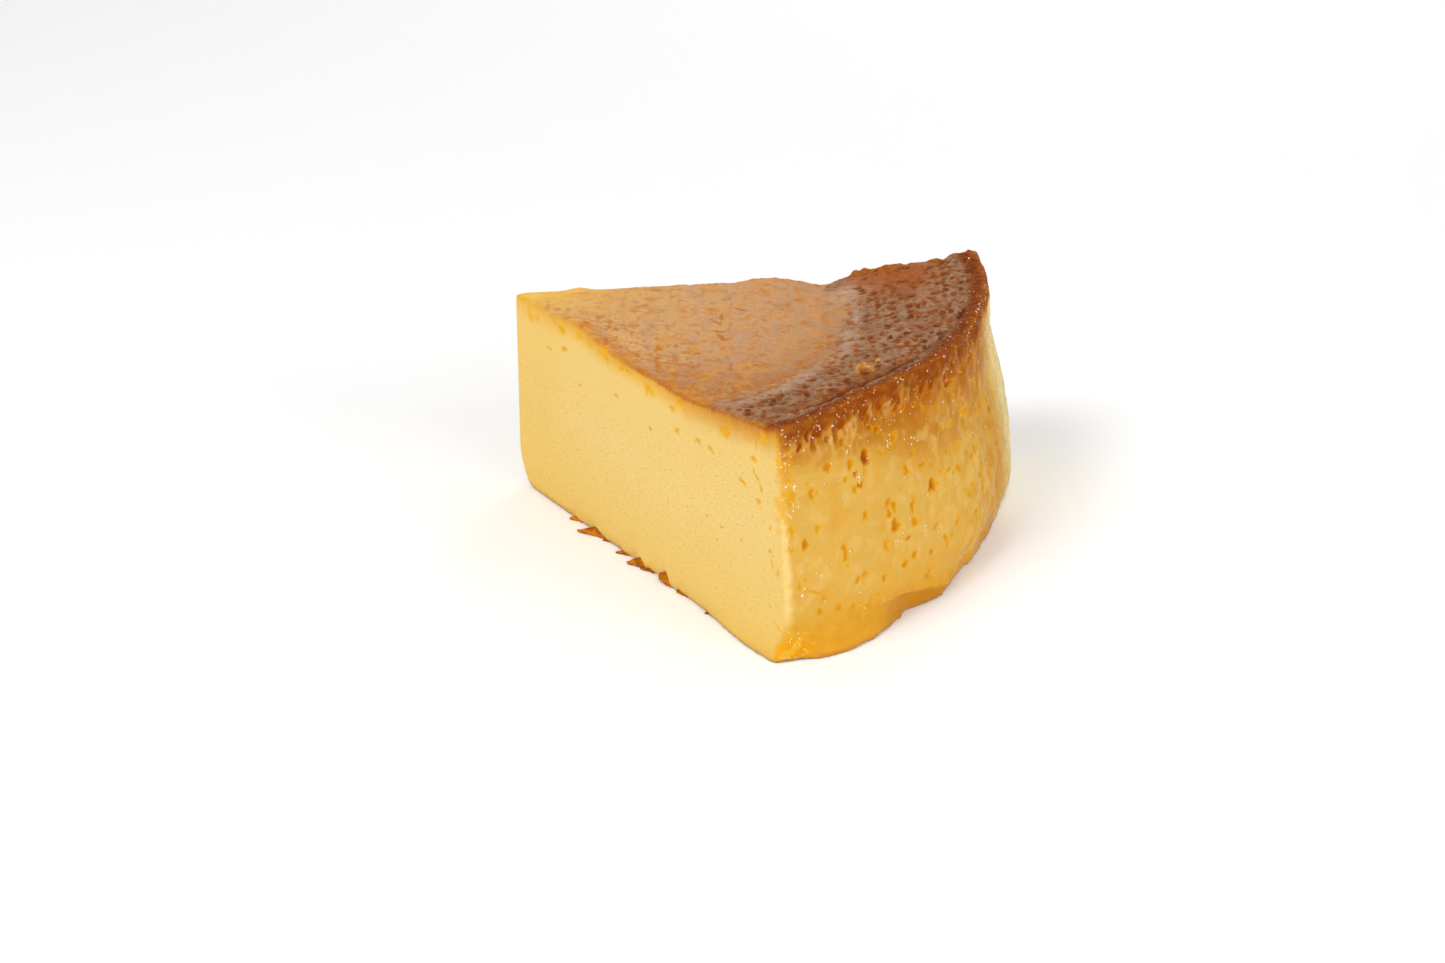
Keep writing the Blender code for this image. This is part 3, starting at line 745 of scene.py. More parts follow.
class Finish:
    """One material's node tree, built a node at a time."""

    def __init__(self, name):
        self.material = bpy.data.materials.new(name)
        self.material.use_nodes = True
        self.tree = self.material.node_tree
        self.shader = self.tree.nodes["Principled BSDF"]

    def feed(self, socket, value):
        """Links a socket to another, or sets its value."""
        if isinstance(value, bpy.types.NodeSocket):
            self.tree.links.new(value, socket)
        else:
            socket.default_value = value

    def set(self, **values):
        """Feeds the shader's own sockets, named as they are with _ for each space."""
        for name, value in values.items():
            self.feed(self.shader.inputs[name.replace("_", " ")], value)

    def add(self, kind, inputs=(), **settings):
        """One more shader node, with what its sockets are fed and its settings."""
        made = self.tree.nodes.new("ShaderNode" + kind)
        for name, value in settings.items():
            setattr(made, name, value)
        for name, value in dict(inputs).items():
            self.feed(made.inputs[name], value)
        return made

    def stored(self, names):
        """What the mesh keeps under each of the names."""
        return [self.add("Attribute", attribute_name=name).outputs["Fac"] for name in names.split()]

    def math(self, operation, first, second=0.0, third=0.0):
        return self.add("Math", {0: first, 1: second, 2: third}, operation=operation).outputs[0]

    def times(self, first, *others):
        """All the values multiplied."""
        for other in others:
            first = self.math("MULTIPLY", first, other)
        return first

    def step(self, value, low, high, start=0.0, end=1.0):
        """A smooth step from start to end as value goes from low to high."""
        inputs = {"Value": value, "From Min": low, "From Max": high, "To Min": start, "To Max": end}
        return self.add("MapRange", inputs, interpolation_type="SMOOTHSTEP").outputs[0]

    def blend(self, amount, first, second, how="MIX"):
        """A mix of two colours, each a socket or an sRGB triple."""
        made = self.add("Mix", data_type="RGBA", blend_type=how)
        self.feed(made.inputs[0], amount)
        for number, colour in ((6, first), (7, second)):
            self.feed(made.inputs[number], tint(*colour) if isinstance(colour, tuple) else colour)
        return made.outputs[2]

    def coat(self, under, colour, *shares):
        """A colour laid over another, as far as all the shares let it."""
        return self.blend(self.times(*shares), under, colour)

    def shifted(self, value, by, amount):
        """A value moved up and down by noise, so that what follows it has no even outline."""
        return self.math("ADD", value, self.math("MULTIPLY_ADD", by, amount, -amount / 2))

    def scaled(self, vector, amount):
        """A vector multiplied by an amount."""
        return self.add("VectorMath", {0: vector, "Scale": amount}, operation="SCALE").outputs[0]

    def cloud(self, size, detail=2.0, place=None):
        """Noise from 0 to 1 with lumps about a size across, in metres or in the place's own unit."""
        place = place or self.add("TexCoord").outputs["Object"]
        inputs = {"Vector": place, "Scale": 1.0 / size, "Detail": detail}
        return self.add("TexNoise", inputs).outputs["Fac"]

    def ramp(self, value, stops):
        """A colour that follows value through stops of (value, colour)."""
        low, high = stops[0][0], stops[-1][0]
        share = self.add("MapRange", {"Value": value, "From Min": low, "From Max": high}).outputs[0]
        made = self.add("ValToRGB", {"Fac": share})
        elements = made.color_ramp.elements
        while len(elements) < len(stops):
            elements.new(1.0)
        for element, (at, colour) in zip(elements, stops):
            element.position = (at - low) / (high - low)
            element.color = tint(*colour)
        return made.outputs["Color"]


# The marks on the top are drawn out one way, from the near cut towards the far one.
TOP_TURN = math.radians(24.5)
TOP_DRAW = 1.7
POCK_SPACING = 1.7 * MM
POCK_WANDER, POCK_WANDER_SIZE = 1.1 * MM, 2.2 * MM


def top_place(mix):
    """Where a point of the top is, in coordinates that draw the marks out."""
    place = mix.add("TexCoord").outputs["Object"]
    inputs = {"Vector": place, "Rotation": (0.0, 0.0, TOP_TURN), "Scale": (1.0, TOP_DRAW, 1.0)}
    return mix.add("Mapping", inputs, vector_type="TEXTURE").outputs[0]


def top_clouds(mix):
    """The patches, spots and dots of the top."""
    place = top_place(mix)
    return mix.cloud(3.4 * MM, 3.0, place), mix.cloud(1.9 * MM, 2.0, place), mix.cloud(0.9 * MM, 2.0, place)


def pocks(mix):
    """Where burst bubbles pock the ring, and a chance from 0 to 1 for each of them."""
    place = top_place(mix)
    wander = mix.add("TexNoise", {"Vector": place, "Scale": 1 / POCK_WANDER_SIZE}).outputs["Color"]
    warped = mix.add("VectorMath", {0: place, 1: mix.scaled(wander, POCK_WANDER)}).outputs[0]
    bubble = mix.add("TexVoronoi", {"Vector": warped, "Scale": 1 / POCK_SPACING})
    chance = mix.add("SeparateColor", {0: bubble.outputs["Color"]}).outputs[0]
    return mix.times(mix.step(bubble.outputs["Distance"], 0.58, 0.30), mix.step(chance, 0.30, 0.42)), chance


def is_crusted(mix):
    """Where the dish has given way to the browned ring."""
    (ring,) = mix.stored("ring")
    return mix.step(mix.shifted(ring, top_clouds(mix)[1], 1.1), 0.32, 0.68)


def dish_colour(mix):
    """The dish: golden at the tip, tan further out, with rusty fibres along the near edge."""
    reach, turn = mix.stored("reach turn")
    patches, spots, dots = top_clouds(mix)
    arc = mix.times(turn, reach, math.pi / 180)
    fibre_place = mix.add("CombineXYZ", {"X": mix.times(reach, 0.17), "Y": mix.times(arc, 0.8)})
    fibres = mix.cloud(1.0, 4.0, fibre_place.outputs[0])
    stops = (
        (0, (243, 197, 88)),
        (8, (236, 188, 92)),
        (17, (226, 174, 98)),
        (35, (210, 162, 106)),
        (55, (202, 154, 108)),
        (68, (194, 146, 102)),
        (80, (172, 122, 82)),
    )
    dish = mix.ramp(mix.shifted(reach, mix.cloud(6.5 * MM, 3.0), 14.0), stops)
    from_edge = mix.shifted(mix.math("MULTIPLY_ADD", reach, HALF_ANGLE, arc), mix.cloud(2.2 * MM, 3.0), 6.0)
    dish = mix.coat(dish, (198, 122, 50), mix.step(from_edge, 6.0, 1.0), mix.step(reach, 12.0, 36.0), 0.6)
    near_edge = mix.step(turn, -14.0, -28.0, 0.2, 1.0)
    dish = mix.coat(dish, (226, 176, 104), mix.step(fibres, 0.53, 0.66, 0.0, 0.8), near_edge)
    fibre_brown = mix.blend(mix.step(reach, 14.0, 34.0), (206, 142, 62), (186, 116, 54))
    dish = mix.coat(dish, fibre_brown, mix.step(fibres, 0.47, 0.34, 0.0, 0.9), near_edge)
    by_corner = mix.step(mix.shifted(reach, patches, 20.0), 46.0, 64.0, 0.0, 0.45)
    dish = mix.coat(dish, (164, 104, 54), near_edge, by_corner)
    calm = mix.times(mix.step(turn, -24.0, -6.0, 1.0, 0.5), mix.step(reach, 4.0, 30.0, 0.35, 1.0))
    dish = mix.coat(dish, (210, 144, 62), mix.step(patches, 0.51, 0.60, 0.0, 0.7), calm)
    from_tip = mix.step(reach, 10.0, 34.0)
    dish = mix.coat(dish, (184, 142, 108), mix.step(patches, 0.48, 0.36, 0.0, 0.5), from_tip)
    dish = mix.coat(dish, (190, 110, 28), mix.step(spots, 0.54, 0.64, 0.0, 0.8), calm)
    return mix.coat(dish, (190, 110, 34), mix.step(dots, 0.58, 0.68, 0.0, 0.6), calm)


def crust_colour(mix):
    """The browned ring: tan foam with burnt pocks and pale webs that are partly a painted sheen, scorched by
    the far cut, rust brown by the groove.
    """
    reach, turn, webs, rust = mix.stored("reach turn webs rust")
    _, spots, dots = top_clouds(mix)
    pocked, chance = pocks(mix)
    crust = mix.blend(mix.step(spots, 0.46, 0.60, 0.0, 0.6), (150, 112, 80), (134, 74, 12))
    crust = mix.coat(crust, (100, 64, 40), mix.step(mix.cloud(6.5 * MM, 3.0), 0.53, 0.63, 0.0, 0.45))
    crust = mix.coat(crust, (130, 60, 6), mix.step(dots, 0.54, 0.64, 0.0, 0.5))
    # The pale foam webs: partly the foam's own colour, partly a painted sheen on their ridges.
    crust = mix.coat(crust, (184, 146, 116), webs, 0.55)
    burnt = mix.blend(mix.step(chance, 0.5, 0.9), (152, 78, 2), (98, 44, 0))
    crust = mix.coat(crust, burnt, pocked, 0.95)
    scorched = mix.times(mix.step(turn, 12.0, 29.0), mix.step(reach, 72.0, 77.0), mix.step(reach, 99.0, 88.0))
    crust = mix.coat(crust, mix.blend(spots, (176, 96, 22), (150, 68, 2)), scorched, 0.8)
    return mix.coat(crust, mix.blend(mix.step(spots, 0.4, 0.6), (158, 88, 18), (116, 52, 2)), rust, 0.75)


def lip_colour(mix):
    """The rolled rim: burnt sugar, darkest at its edge."""
    (drop,) = mix.stored("drop")
    dots = mix.cloud(1.0 * MM, 2.0)
    lip = mix.blend(mix.step(mix.cloud(2.2 * MM, 3.0), 0.44, 0.54), (144, 78, 28), (134, 56, 0))
    lip = mix.coat(lip, (138, 54, 0), mix.step(drop, 2.6, 0.6, 0.0, 0.7))
    lip = mix.coat(lip, (104, 36, 0), mix.step(dots, 0.50, 0.60, 0.0, 0.7))
    return mix.coat(lip, (178, 104, 34), mix.step(dots, 0.42, 0.34, 0.0, 0.4))


def top_colour(mix):
    """The top from the dish to the rim, with painted shade in its deep marks, groove and creases, and a
    painted sheen of haze.
    """
    reach, hollow, depth, cavity = mix.stored("reach hollow depth cavity")
    ring, rim, groove, haze = mix.stored("ring rim groove haze")
    patches, _, _ = top_clouds(mix)
    top = mix.blend(is_crusted(mix), dish_colour(mix), crust_colour(mix))
    # The painted sheen: a pinkish grey laid where a light behind the slice would reflect off the top.
    top = mix.coat(top, (196, 160, 134), haze, mix.step(patches, 0.35, 0.6, 0.4, 1.0))
    pit = mix.blend(ring, (188, 112, 36), (146, 72, 2))
    top = mix.coat(top, pit, hollow, mix.step(ring, 0.0, 1.0, 0.6, 0.8))
    top = mix.blend(rim, top, lip_colour(mix))
    # Painted shade: the deeper a pit or mark of the top, the darker it is painted.
    painted_shade_by_depth = mix.blend(ring, (150, 104, 66), (84, 40, 6))
    top = mix.coat(top, painted_shade_by_depth, mix.step(depth, 0.22, 0.60, 0.0, 0.9), mix.step(reach, 26.0, 44.0))
    # Painted shade in the groove inside the rim.
    top = mix.coat(top, (84, 40, 6), groove, 1.1)
    # Painted shade in the creases and hollows of the skin.
    painted_shade_in_creases = mix.blend(ring, (196, 120, 42), (110, 56, 14))
    return mix.coat(top, painted_shade_in_creases, mix.step(cavity, 0.03, 0.16, 0.0, 0.45))


def below_rim_colour(mix):
    """The wall's ground: brown at the rim, narrowing to the right, then custard, golden at the foot."""
    turn, drop, height = mix.stored("turn drop height")
    patches = mix.cloud(3.4 * MM, 3.0)
    streak_place = mix.add("CombineXYZ", {"X": mix.times(turn, 1.1), "Y": mix.times(height, 0.17)})
    streaks = mix.cloud(1.0, 3.0, streak_place.outputs[0])
    stops = (
        (0, (132, 52, 0)),
        (1.6, (142, 62, 0)),
        (3.2, (176, 98, 10)),
        (6.0, (190, 118, 26)),
        (9.0, (200, 134, 38)),
        (12.0, (218, 162, 66)),
        (15.0, (225, 177, 80)),
    )
    narrowed = mix.math("ADD", mix.step(turn, -31.0, -8.0, 1.35, 0.58), mix.step(turn, 4.0, 16.0, 0.0, 1.1))
    wall = mix.ramp(mix.times(mix.shifted(drop, patches, 6.0), narrowed), stops)
    wall = mix.coat(wall, (222, 166, 44), mix.step(drop, 34.0, 50.0))
    wall = mix.coat(wall, (226, 164, 58), mix.step(mix.cloud(6.5 * MM, 3.0), 0.52, 0.68, 0.0, 0.5))
    below = mix.times(mix.step(drop, 9.0, 14.0), mix.step(height, 8.0, 14.0))
    wall = mix.coat(wall, (234, 192, 104), mix.step(patches, 0.54, 0.34, 0.0, 0.5), below)
    golden_side = mix.times(mix.step(turn, -9.0, 0.0), mix.step(drop, 8.0, 12.0))
    wall = mix.coat(wall, (214, 152, 30), mix.step(patches, 0.54, 0.64, 0.0, 0.6), golden_side)
    pale_side = mix.times(mix.step(turn, -12, 6), mix.step(drop, 1.0, 9.0))
    wall = mix.coat(wall, (232, 190, 98), mix.step(streaks, 0.52, 0.66, 0.0, 0.5), pale_side)
    return mix.coat(wall, (204, 140, 36), mix.step(streaks, 0.46, 0.34, 0.0, 0.5), mix.step(turn, -16.0, 0.0))


def add_holes(mix, wall):
    """Drips, cells and steam holes on the wall: deeper syrup is a darker amber."""
    turn, drop, hollow, depth = mix.stored("turn drop hollow depth")
    cells, webs, cavity = mix.stored("cells webs cavity")
    drips = mix.blend(mix.step(turn, -16.0, -7.0), (226, 174, 88), (188, 128, 60))
    drips = mix.coat(drips, (226, 180, 112), mix.step(turn, 2.0, 10.0))
    wall = mix.coat(wall, drips, webs, mix.step(drop, 1.0, 6.0, 0.0, 0.6))
    wall = mix.coat(wall, (164, 82, 2), cells, 0.85)
    stops = (
        (0.0, (230, 174, 64)),
        (0.3, (226, 162, 32)),
        (0.7, (218, 144, 4)),
        (1.2, (202, 116, 0)),
        (1.9, (160, 74, 0)),
    )
    amber = mix.ramp(mix.math("ADD", depth, mix.step(drop, 10.0, 2.0, 0.0, 1.3)), stops)
    # Darker amber in the wall's dents and hollows: partly syrup gathered there, partly painted shade, darkest
    # near the rim.
    dent = mix.blend(mix.step(drop, 3.0, 12.0), (156, 78, 4), (222, 154, 40))
    wall = mix.coat(wall, dent, mix.step(cavity, 0.02, 0.12, 0.0, 0.6))
    open_hole = mix.math("MAXIMUM", mix.step(depth, 0.05, 0.35), mix.step(drop, 8.0, 12.0))
    return mix.coat(wall, amber, hollow, open_hole, 0.95)


def add_foot(mix, wall):
    """The golden foot of the wall, the shadow under its ledge and the brown of the base's edge."""
    turn, height, ledge = mix.stored("turn height under_ledge")
    spots = mix.cloud(2.2 * MM, 3.0)
    foot_top = mix.step(turn, -20, -2, 11.5, 4.5)
    foot = mix.step(mix.shifted(height, spots, 4.0), foot_top, mix.step(turn, -20, -2, 4.5, 1.5))
    wall = mix.coat(wall, mix.blend(spots, (216, 144, 20), (232, 174, 54)), foot, 0.8)
    wall = mix.coat(wall, (194, 124, 22), ledge, 0.7)
    return mix.coat(wall, (160, 86, 14), mix.step(height, 1.4, 0.2, 0.0, 0.6))


def wall_colour(mix):
    """The wall, soaked or torn at its near corner, with a pale painted glow along that corner and painted
    shade and light on its far side.
    """
    turn, drop, height, torn = mix.stored("turn drop height torn")
    spots = mix.cloud(2.2 * MM, 3.0)
    wall = add_foot(mix, add_holes(mix, below_rim_colour(mix)))
    # A painted glow: a pale line along the near corner stands in for light through its thin edge and the wet
    # highlight on it.
    painted_corner_glow = mix.step(mix.shifted(turn, spots, 1.4), -31.7, -32.7)
    glow_from, glow_to = mix.step(height, 8.0, 13.0), mix.step(mix.shifted(height, spots, 8.0), 36.0, 28.0)
    wall = mix.coat(wall, (250, 222, 146), painted_corner_glow, glow_from, glow_to, 0.75)
    soaked = mix.times(mix.step(turn, -30.6, -32.2), mix.step(mix.shifted(height, spots, 9.0), 26.0, 34.0))
    soaked = mix.times(soaked, mix.step(spots, 0.42, 0.56, 0.1, 0.65), mix.step(drop, 3.0, 6.0))
    wall = mix.coat(wall, (238, 172, 34), soaked)
    wall = mix.coat(wall, mix.blend(mix.step(spots, 0.4, 0.6), (242, 184, 46), (234, 162, 16)), torn)
    # Painted shade and light on the far side: from 0 degrees round, the wall is multiplied darker and warmer,
    # painted shade that also offsets the white reflection at grazing there; from 8 degrees on it is painted
    # paler again, painted light where that side turns away from the lamps.
    painted_far_side_tint = mix.blend(mix.step(turn, 8.0, 18.0), (238, 220, 150), (255, 250, 210))
    wall = mix.blend(mix.step(turn, 0.0, 12.0), wall, painted_far_side_tint, "MULTIPLY")
    return mix.coat(wall, (250, 226, 150), mix.step(turn, 8.0, 20.0, 0.0, 0.9), mix.step(drop, 1.0, 4.0))


def cut_colour(mix):
    """The cuts: pale custard, browned under the skin of the top, with fine pores and syrup stains."""
    reach, drop, height = mix.stored("reach drop height")
    hollow, torn, golden = mix.stored("hollow torn golden")
    spots = mix.cloud(2.2 * MM, 3.0)
    pore_up = mix.math("ADD", mix.times(height, 2.3), mix.times(reach, -0.8))
    pore_place = mix.add("CombineXYZ", {"X": mix.times(reach, 0.9), "Y": pore_up})
    pores = mix.cloud(1.0, 1.0, pore_place.outputs[0])
    stops = (
        (0, (218, 146, 50)),
        (0.8, (230, 168, 60)),
        (2.6, (238, 188, 86)),
        (5.0, (240, 204, 122)),
        (22, (240, 206, 128)),
        (42, (238, 200, 112)),
        (50, (232, 188, 88)),
    )
    cut = mix.ramp(drop, stops)
    cut = mix.coat(cut, (240, 198, 100), mix.step(reach, 34.0, 6.0, 0.0, 0.5))
    cut = mix.coat(cut, (236, 172, 34), golden, 0.85)
    browned = mix.step(mix.shifted(drop, spots, 3.0), 7.5, 0.0)
    cut = mix.coat(cut, (208, 134, 40), browned, mix.step(reach, 58.0, 92.0), 0.85)
    rusty = mix.step(mix.shifted(drop, mix.cloud(1.0 * MM, 2.0), 1.2), 1.3, 0.4)
    cut = mix.coat(cut, (180, 96, 26), rusty, mix.step(reach, 34.0, 56.0), 0.8)
    pored = mix.math("MAXIMUM", mix.step(reach, 50.0, 70.0), mix.step(drop, 10.0, 16.0))
    cut = mix.coat(cut, (232, 178, 58), pored, mix.step(drop, 5.0, 9.0), mix.step(pores, 0.60, 0.68), 0.75)
    cut = mix.coat(cut, (238, 174, 28), hollow, 0.9)
    edge = mix.times(mix.step(reach, 104.0, 106.6), mix.step(mix.shifted(height, spots, 12.0), 24.0, 36.0))
    cut = mix.coat(cut, (240, 178, 50), edge, mix.step(spots, 0.44, 0.54), 0.7)
    return mix.coat(cut, (238, 176, 36), torn)


GLOSS_RANGE = 0.08
CRUST_BUMP = 0.5
BUMP_HEIGHT = 0.4 * MM


def custard_finish(name, roughness, bump_strength, ior):
    """Custard and its browned skin: amber where syrup soaked in, dark where the top burnt."""
    mix = Finish(name)
    on_top, on_wall, on_base = mix.stored("on_top on_wall on_base")
    reach, hollow, rim = mix.stored("reach hollow rim")
    spots = mix.cloud(2.2 * MM, 3.0)
    colour = mix.blend(on_wall, cut_colour(mix), wall_colour(mix))
    colour = mix.blend(on_top, colour, top_colour(mix))
    colour = mix.coat(colour, mix.blend(spots, (190, 120, 48), (158, 92, 40)), on_base)
    gloss = mix.step(spots, 0.3, 0.7, roughness - GLOSS_RANGE, roughness + GLOSS_RANGE)
    foam = mix.times(on_top, mix.math("MAXIMUM", is_crusted(mix), rim))
    strength = mix.math("MULTIPLY_ADD", foam, CRUST_BUMP, bump_strength)
    strength = mix.times(strength, mix.step(reach, 10.0, 60.0, 0.35, 1.0))
    grain = mix.times(mix.cloud(0.5 * MM, 2.0), 0.4)
    skin = mix.math("ADD", mix.times(mix.cloud(1.0 * MM, 2.0), 0.6), grain)
    bump = mix.add("Bump", {"Strength": strength, "Distance": BUMP_HEIGHT, "Height": skin}).outputs[0]
    mix.set(
        Base_Color=colour,
        Roughness=mix.math("ADD", gloss, mix.times(hollow, -0.1)),
        Normal=bump,
        IOR=ior,
        Subsurface_Weight=0.30,
        Subsurface_Radius=(1.0, 0.5, 0.2),
        Subsurface_Scale=0.8 * MM,
    )
    return mix.material


# Each vertex's face tells which of the three materials it takes: browned top, wall, or cut and base.
flan.data.materials.append(custard_finish("browned_top", 0.34, 0.40, 1.14))
flan.data.materials.append(custard_finish("moist_wall", 0.20, 0.25, 1.15))
flan.data.materials.append(custard_finish("fresh_cut", 0.40, 0.05, 1.15))
skins = np.stack([kept("on_top"), kept("on_wall"), kept("on_cut") + kept("on_base")], 1)
for polygon in flan.data.polygons:
    polygon.material_index = int(skins[list(polygon.vertices)].sum(0).argmax())

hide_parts("custard_flan")
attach(flan, "root")


def finish_piece(piece, name, material):
    """Names a finished piece, puts its place into its mesh and parents it to the root body's empty."""
    bpy.ops.object.select_all(action="DESELECT")
    piece.select_set(True)
    bpy.context.view_layer.objects.active = piece
    bpy.ops.object.transform_apply(location=True, rotation=True, scale=True)
    bpy.ops.object.shade_smooth()
    piece.name = name
    piece.data.name = name
    piece.data.materials.clear()
    piece.data.materials.append(material)
    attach(piece, "root")


def join_pieces(pieces):
    bpy.ops.object.select_all(action="DESELECT")
    for piece in pieces:
        piece.select_set(True)
    bpy.context.view_layer.objects.active = pieces[0]
    bpy.ops.object.join()
    return pieces[0]


# ---------------------------------------------------------------------------------------------
# Flakes of browned skin, torn from the base by the knife and pushed out along the foot of the
# near cut. Each is thick where it hangs on the cut and thins out to a point nearer the tip.

# Radius, length along the cut, height at the cut and reach out of it in millimetres, and 1 if it
# is torn to a point.
FLAKES = (
    (26.6, 3.0, 1.9, 1.5, 1),
    (35.4, 6.0, 2.4, 3.6, 1),
    (39.4, 1.6, 0.9, 0.8, 1),
    (47.2, 2.4, 1.5, 1.7, 1),
    (54.2, 5.2, 2.8, 2.6, 1),
    (57.0, 3.2, 1.0, 1.5, 1),
    (64.4, 5.0, 2.9, 1.2, 0),
    (70.2, 4.6, 0.6, 0.7, 1),
    (81.6, 1.8, 0.9, 0.9, 1),
)
FLAKE_ROOT = 1.2 * MM
FLAKE_LEAN = 0.9
FLAKE_THIN_EDGE = 0.2
FLAKE_CUTS = 9
ROUND_FLAKE_LIFT = 1.3 * MM
CRUMPLE, CRUMPLE_SIZE = 0.26 * MM, 0.8 * MM

flake_pieces = []
for reach, long, tall, out, is_torn in FLAKES:
    bpy.ops.object.select_all(action="DESELECT")
    bpy.ops.mesh.primitive_cube_add(size=1.0)
    flake = bpy.context.object
    bpy.ops.object.mode_set(mode="EDIT")
    bpy.ops.mesh.select_all(action="SELECT")
    bpy.ops.mesh.subdivide(number_cuts=FLAKE_CUTS)
    bpy.ops.object.mode_set(mode="OBJECT")
    shape = read_points(flake.data) + (0.5, 0.5, 0.0)
    share, outward, upward = shape.T
    if is_torn:
        ragged = np.minimum(share / 0.42, (1.0 - share) / 0.58) ** 1.3
    else:
        ragged = np.sin(math.pi * np.clip(share, 0.08, 0.92)) ** 0.7
    reached = outward * ragged * out * MM - FLAKE_ROOT * (1.0 - outward) ** 3
    thick = tall * MM * (1.0 - (1.0 - FLAKE_THIN_EDGE) * outward ** 0.8)
    thick *= 0.15 + 0.85 * np.sin(math.pi * np.clip(share, 0.03, 0.97))
    along = (share - 0.5) * long * MM - FLAKE_LEAN * np.maximum(reached, 0.0)
    lift = 0.05 * MM + thick * (upward + 0.5) + 0.05 * np.maximum(reached, 0.0)
    if not is_torn:
        lift += (1.0 - share) * ROUND_FLAKE_LIFT
    place = spot(reach * MM, -HALF_ANGLE, 0.0)
    shape = place + np.outer(along, cut_along) + np.outer(reached, near_out) + np.outer(lift, UP)
    crumple = np.array([noise.noise_vector(Vector(p) / CRUMPLE_SIZE) for p in shape])
    shape += crumple * CRUMPLE * (0.3 + 0.7 * outward)[:, None]
    shape[:, 2] = np.maximum(shape[:, 2], 0.03 * MM)
    write_points(flake.data, shape)
    flake_pieces.append(flake)

skin = Finish("torn_skin")
patches = skin.cloud(1.4 * MM, 3.0)
bits = skin.cloud(0.4 * MM, 2.0)
skin.set(
    Base_Color=skin.blend(skin.step(patches, 0.35, 0.65), (208, 126, 8), (158, 78, 0)),
    Roughness=skin.step(bits, 0.3, 0.7, 0.32, 0.5),
    IOR=1.2,
    Normal=skin.add("Bump", {"Strength": 0.5, "Distance": 0.3 * MM, "Height": bits}).outputs[0],
    Subsurface_Weight=0.2,
    Subsurface_Radius=(1.0, 0.4, 0.1),
    Subsurface_Scale=1.0 * MM,
)
finish_piece(join_pieces(flake_pieces), "browned_flakes", skin.material)

# ---------------------------------------------------------------------------------------------
# Loose crumbs of custard on the browned ring: a curl that the knife dropped, and a speck by it.
# They lie on the skin and hold by their own moisture.

# Radius in millimetres, turn in degrees, and length, width and height in millimetres. Each is
# bent nearly into a half ring, which leans back.
CRUMBS = ((93.1, -11.3, 3.4, 2.2, 1.9), (92.6, -7.4, 1.2, 0.8, 0.6))
CRUMB_BEND = math.radians(175.0)
CRUMB_LEAN = math.radians(58.0)
CRUMB_WAY = math.radians(24.5)
CRUMB_LUMPS, CRUMB_LUMP_SIZE = 0.18 * MM, 0.9 * MM

crumb_pieces = []
for reach, degrees, long, wide, tall in CRUMBS:
    place = on_the_top(reach * MM, math.radians(degrees))
    bpy.ops.object.select_all(action="DESELECT")
    bpy.ops.mesh.primitive_uv_sphere_add(segments=20, ring_count=14, radius=1.0)
    crumb = bpy.context.object
    shape = read_points(crumb.data)
    bend = CRUMB_BEND * shape[:, 2] / 2
    arc = long * MM / 2 / math.sin(CRUMB_BEND / 2)
    ring_out = arc + shape[:, 0] * wide * MM / 2
    sideways = ring_out * np.sin(bend)
    away = ring_out * np.cos(bend) - arc * 0.7
    level, back = directions(CRUMB_WAY)
    arch = back * math.cos(CRUMB_LEAN) + UP * math.sin(CRUMB_LEAN)
    through = UP * math.cos(CRUMB_LEAN) - back * math.sin(CRUMB_LEAN)
    thick = shape[:, 1] * tall * MM / 2
    shape = np.outer(sideways, level) + np.outer(away, arch) + np.outer(thick, through)
    lumps = np.array([noise.noise_vector(Vector(p) / CRUMB_LUMP_SIZE) for p in shape])
    write_points(crumb.data, shape + lumps * CRUMB_LUMPS + place + UP * tall * MM * 0.32)
    crumb_pieces.append(crumb)

loose = Finish("loose_custard")
patches = loose.cloud(0.8 * MM, 3.0)
loose.set(
    Base_Color=loose.blend(loose.step(patches, 0.4, 0.65), (206, 150, 76), (178, 108, 24)),
    Roughness=loose.step(patches, 0.3, 0.7, 0.4, 0.55),
    IOR=1.14,
    Normal=loose.add("Bump", {"Strength": 0.4, "Distance": 0.3 * MM, "Height": patches}).outputs[0],
    Subsurface_Weight=0.35,
    Subsurface_Radius=(1.0, 0.55, 0.22),
    Subsurface_Scale=1.2 * MM,
)
finish_piece(join_pieces(crumb_pieces), "loose_crumbs", loose.material)

# ---------------------------------------------------------------------------------------------
# Beads of syrup: water and sugar that the custard wept. They cling to the rim, to the webs below
# it and to the corner of the wall, and catch the light; their near-white colour is a painted glint. Each is a
# flattened ball of 32 faces.

draw = random.Random(21)
BEADS = 560
# How wet each vertex is: most under the rim and by the near corner, and on the rim and the tear.
wet = on_wall * (np.exp(-drop / (7 * MM)) + 0.05)
wet += on_wall * 0.5 * (1.0 - smoothstep((turn + HALF_ANGLE) * ARC, 1.0 * MM, 6.0 * MM)) * (height > 24 * MM)
wet += on_top * rim * 0.5 + torn * 1.2
wet *= (face == WALL) | (face == TOP)
total = np.cumsum(wet)
bead_places = [int(np.searchsorted(total, draw.random() * total[-1])) for _ in range(BEADS)]
bead_sizes = [(0.06 + 0.12 * draw.random() ** 2.0) * MM for _ in range(BEADS)]
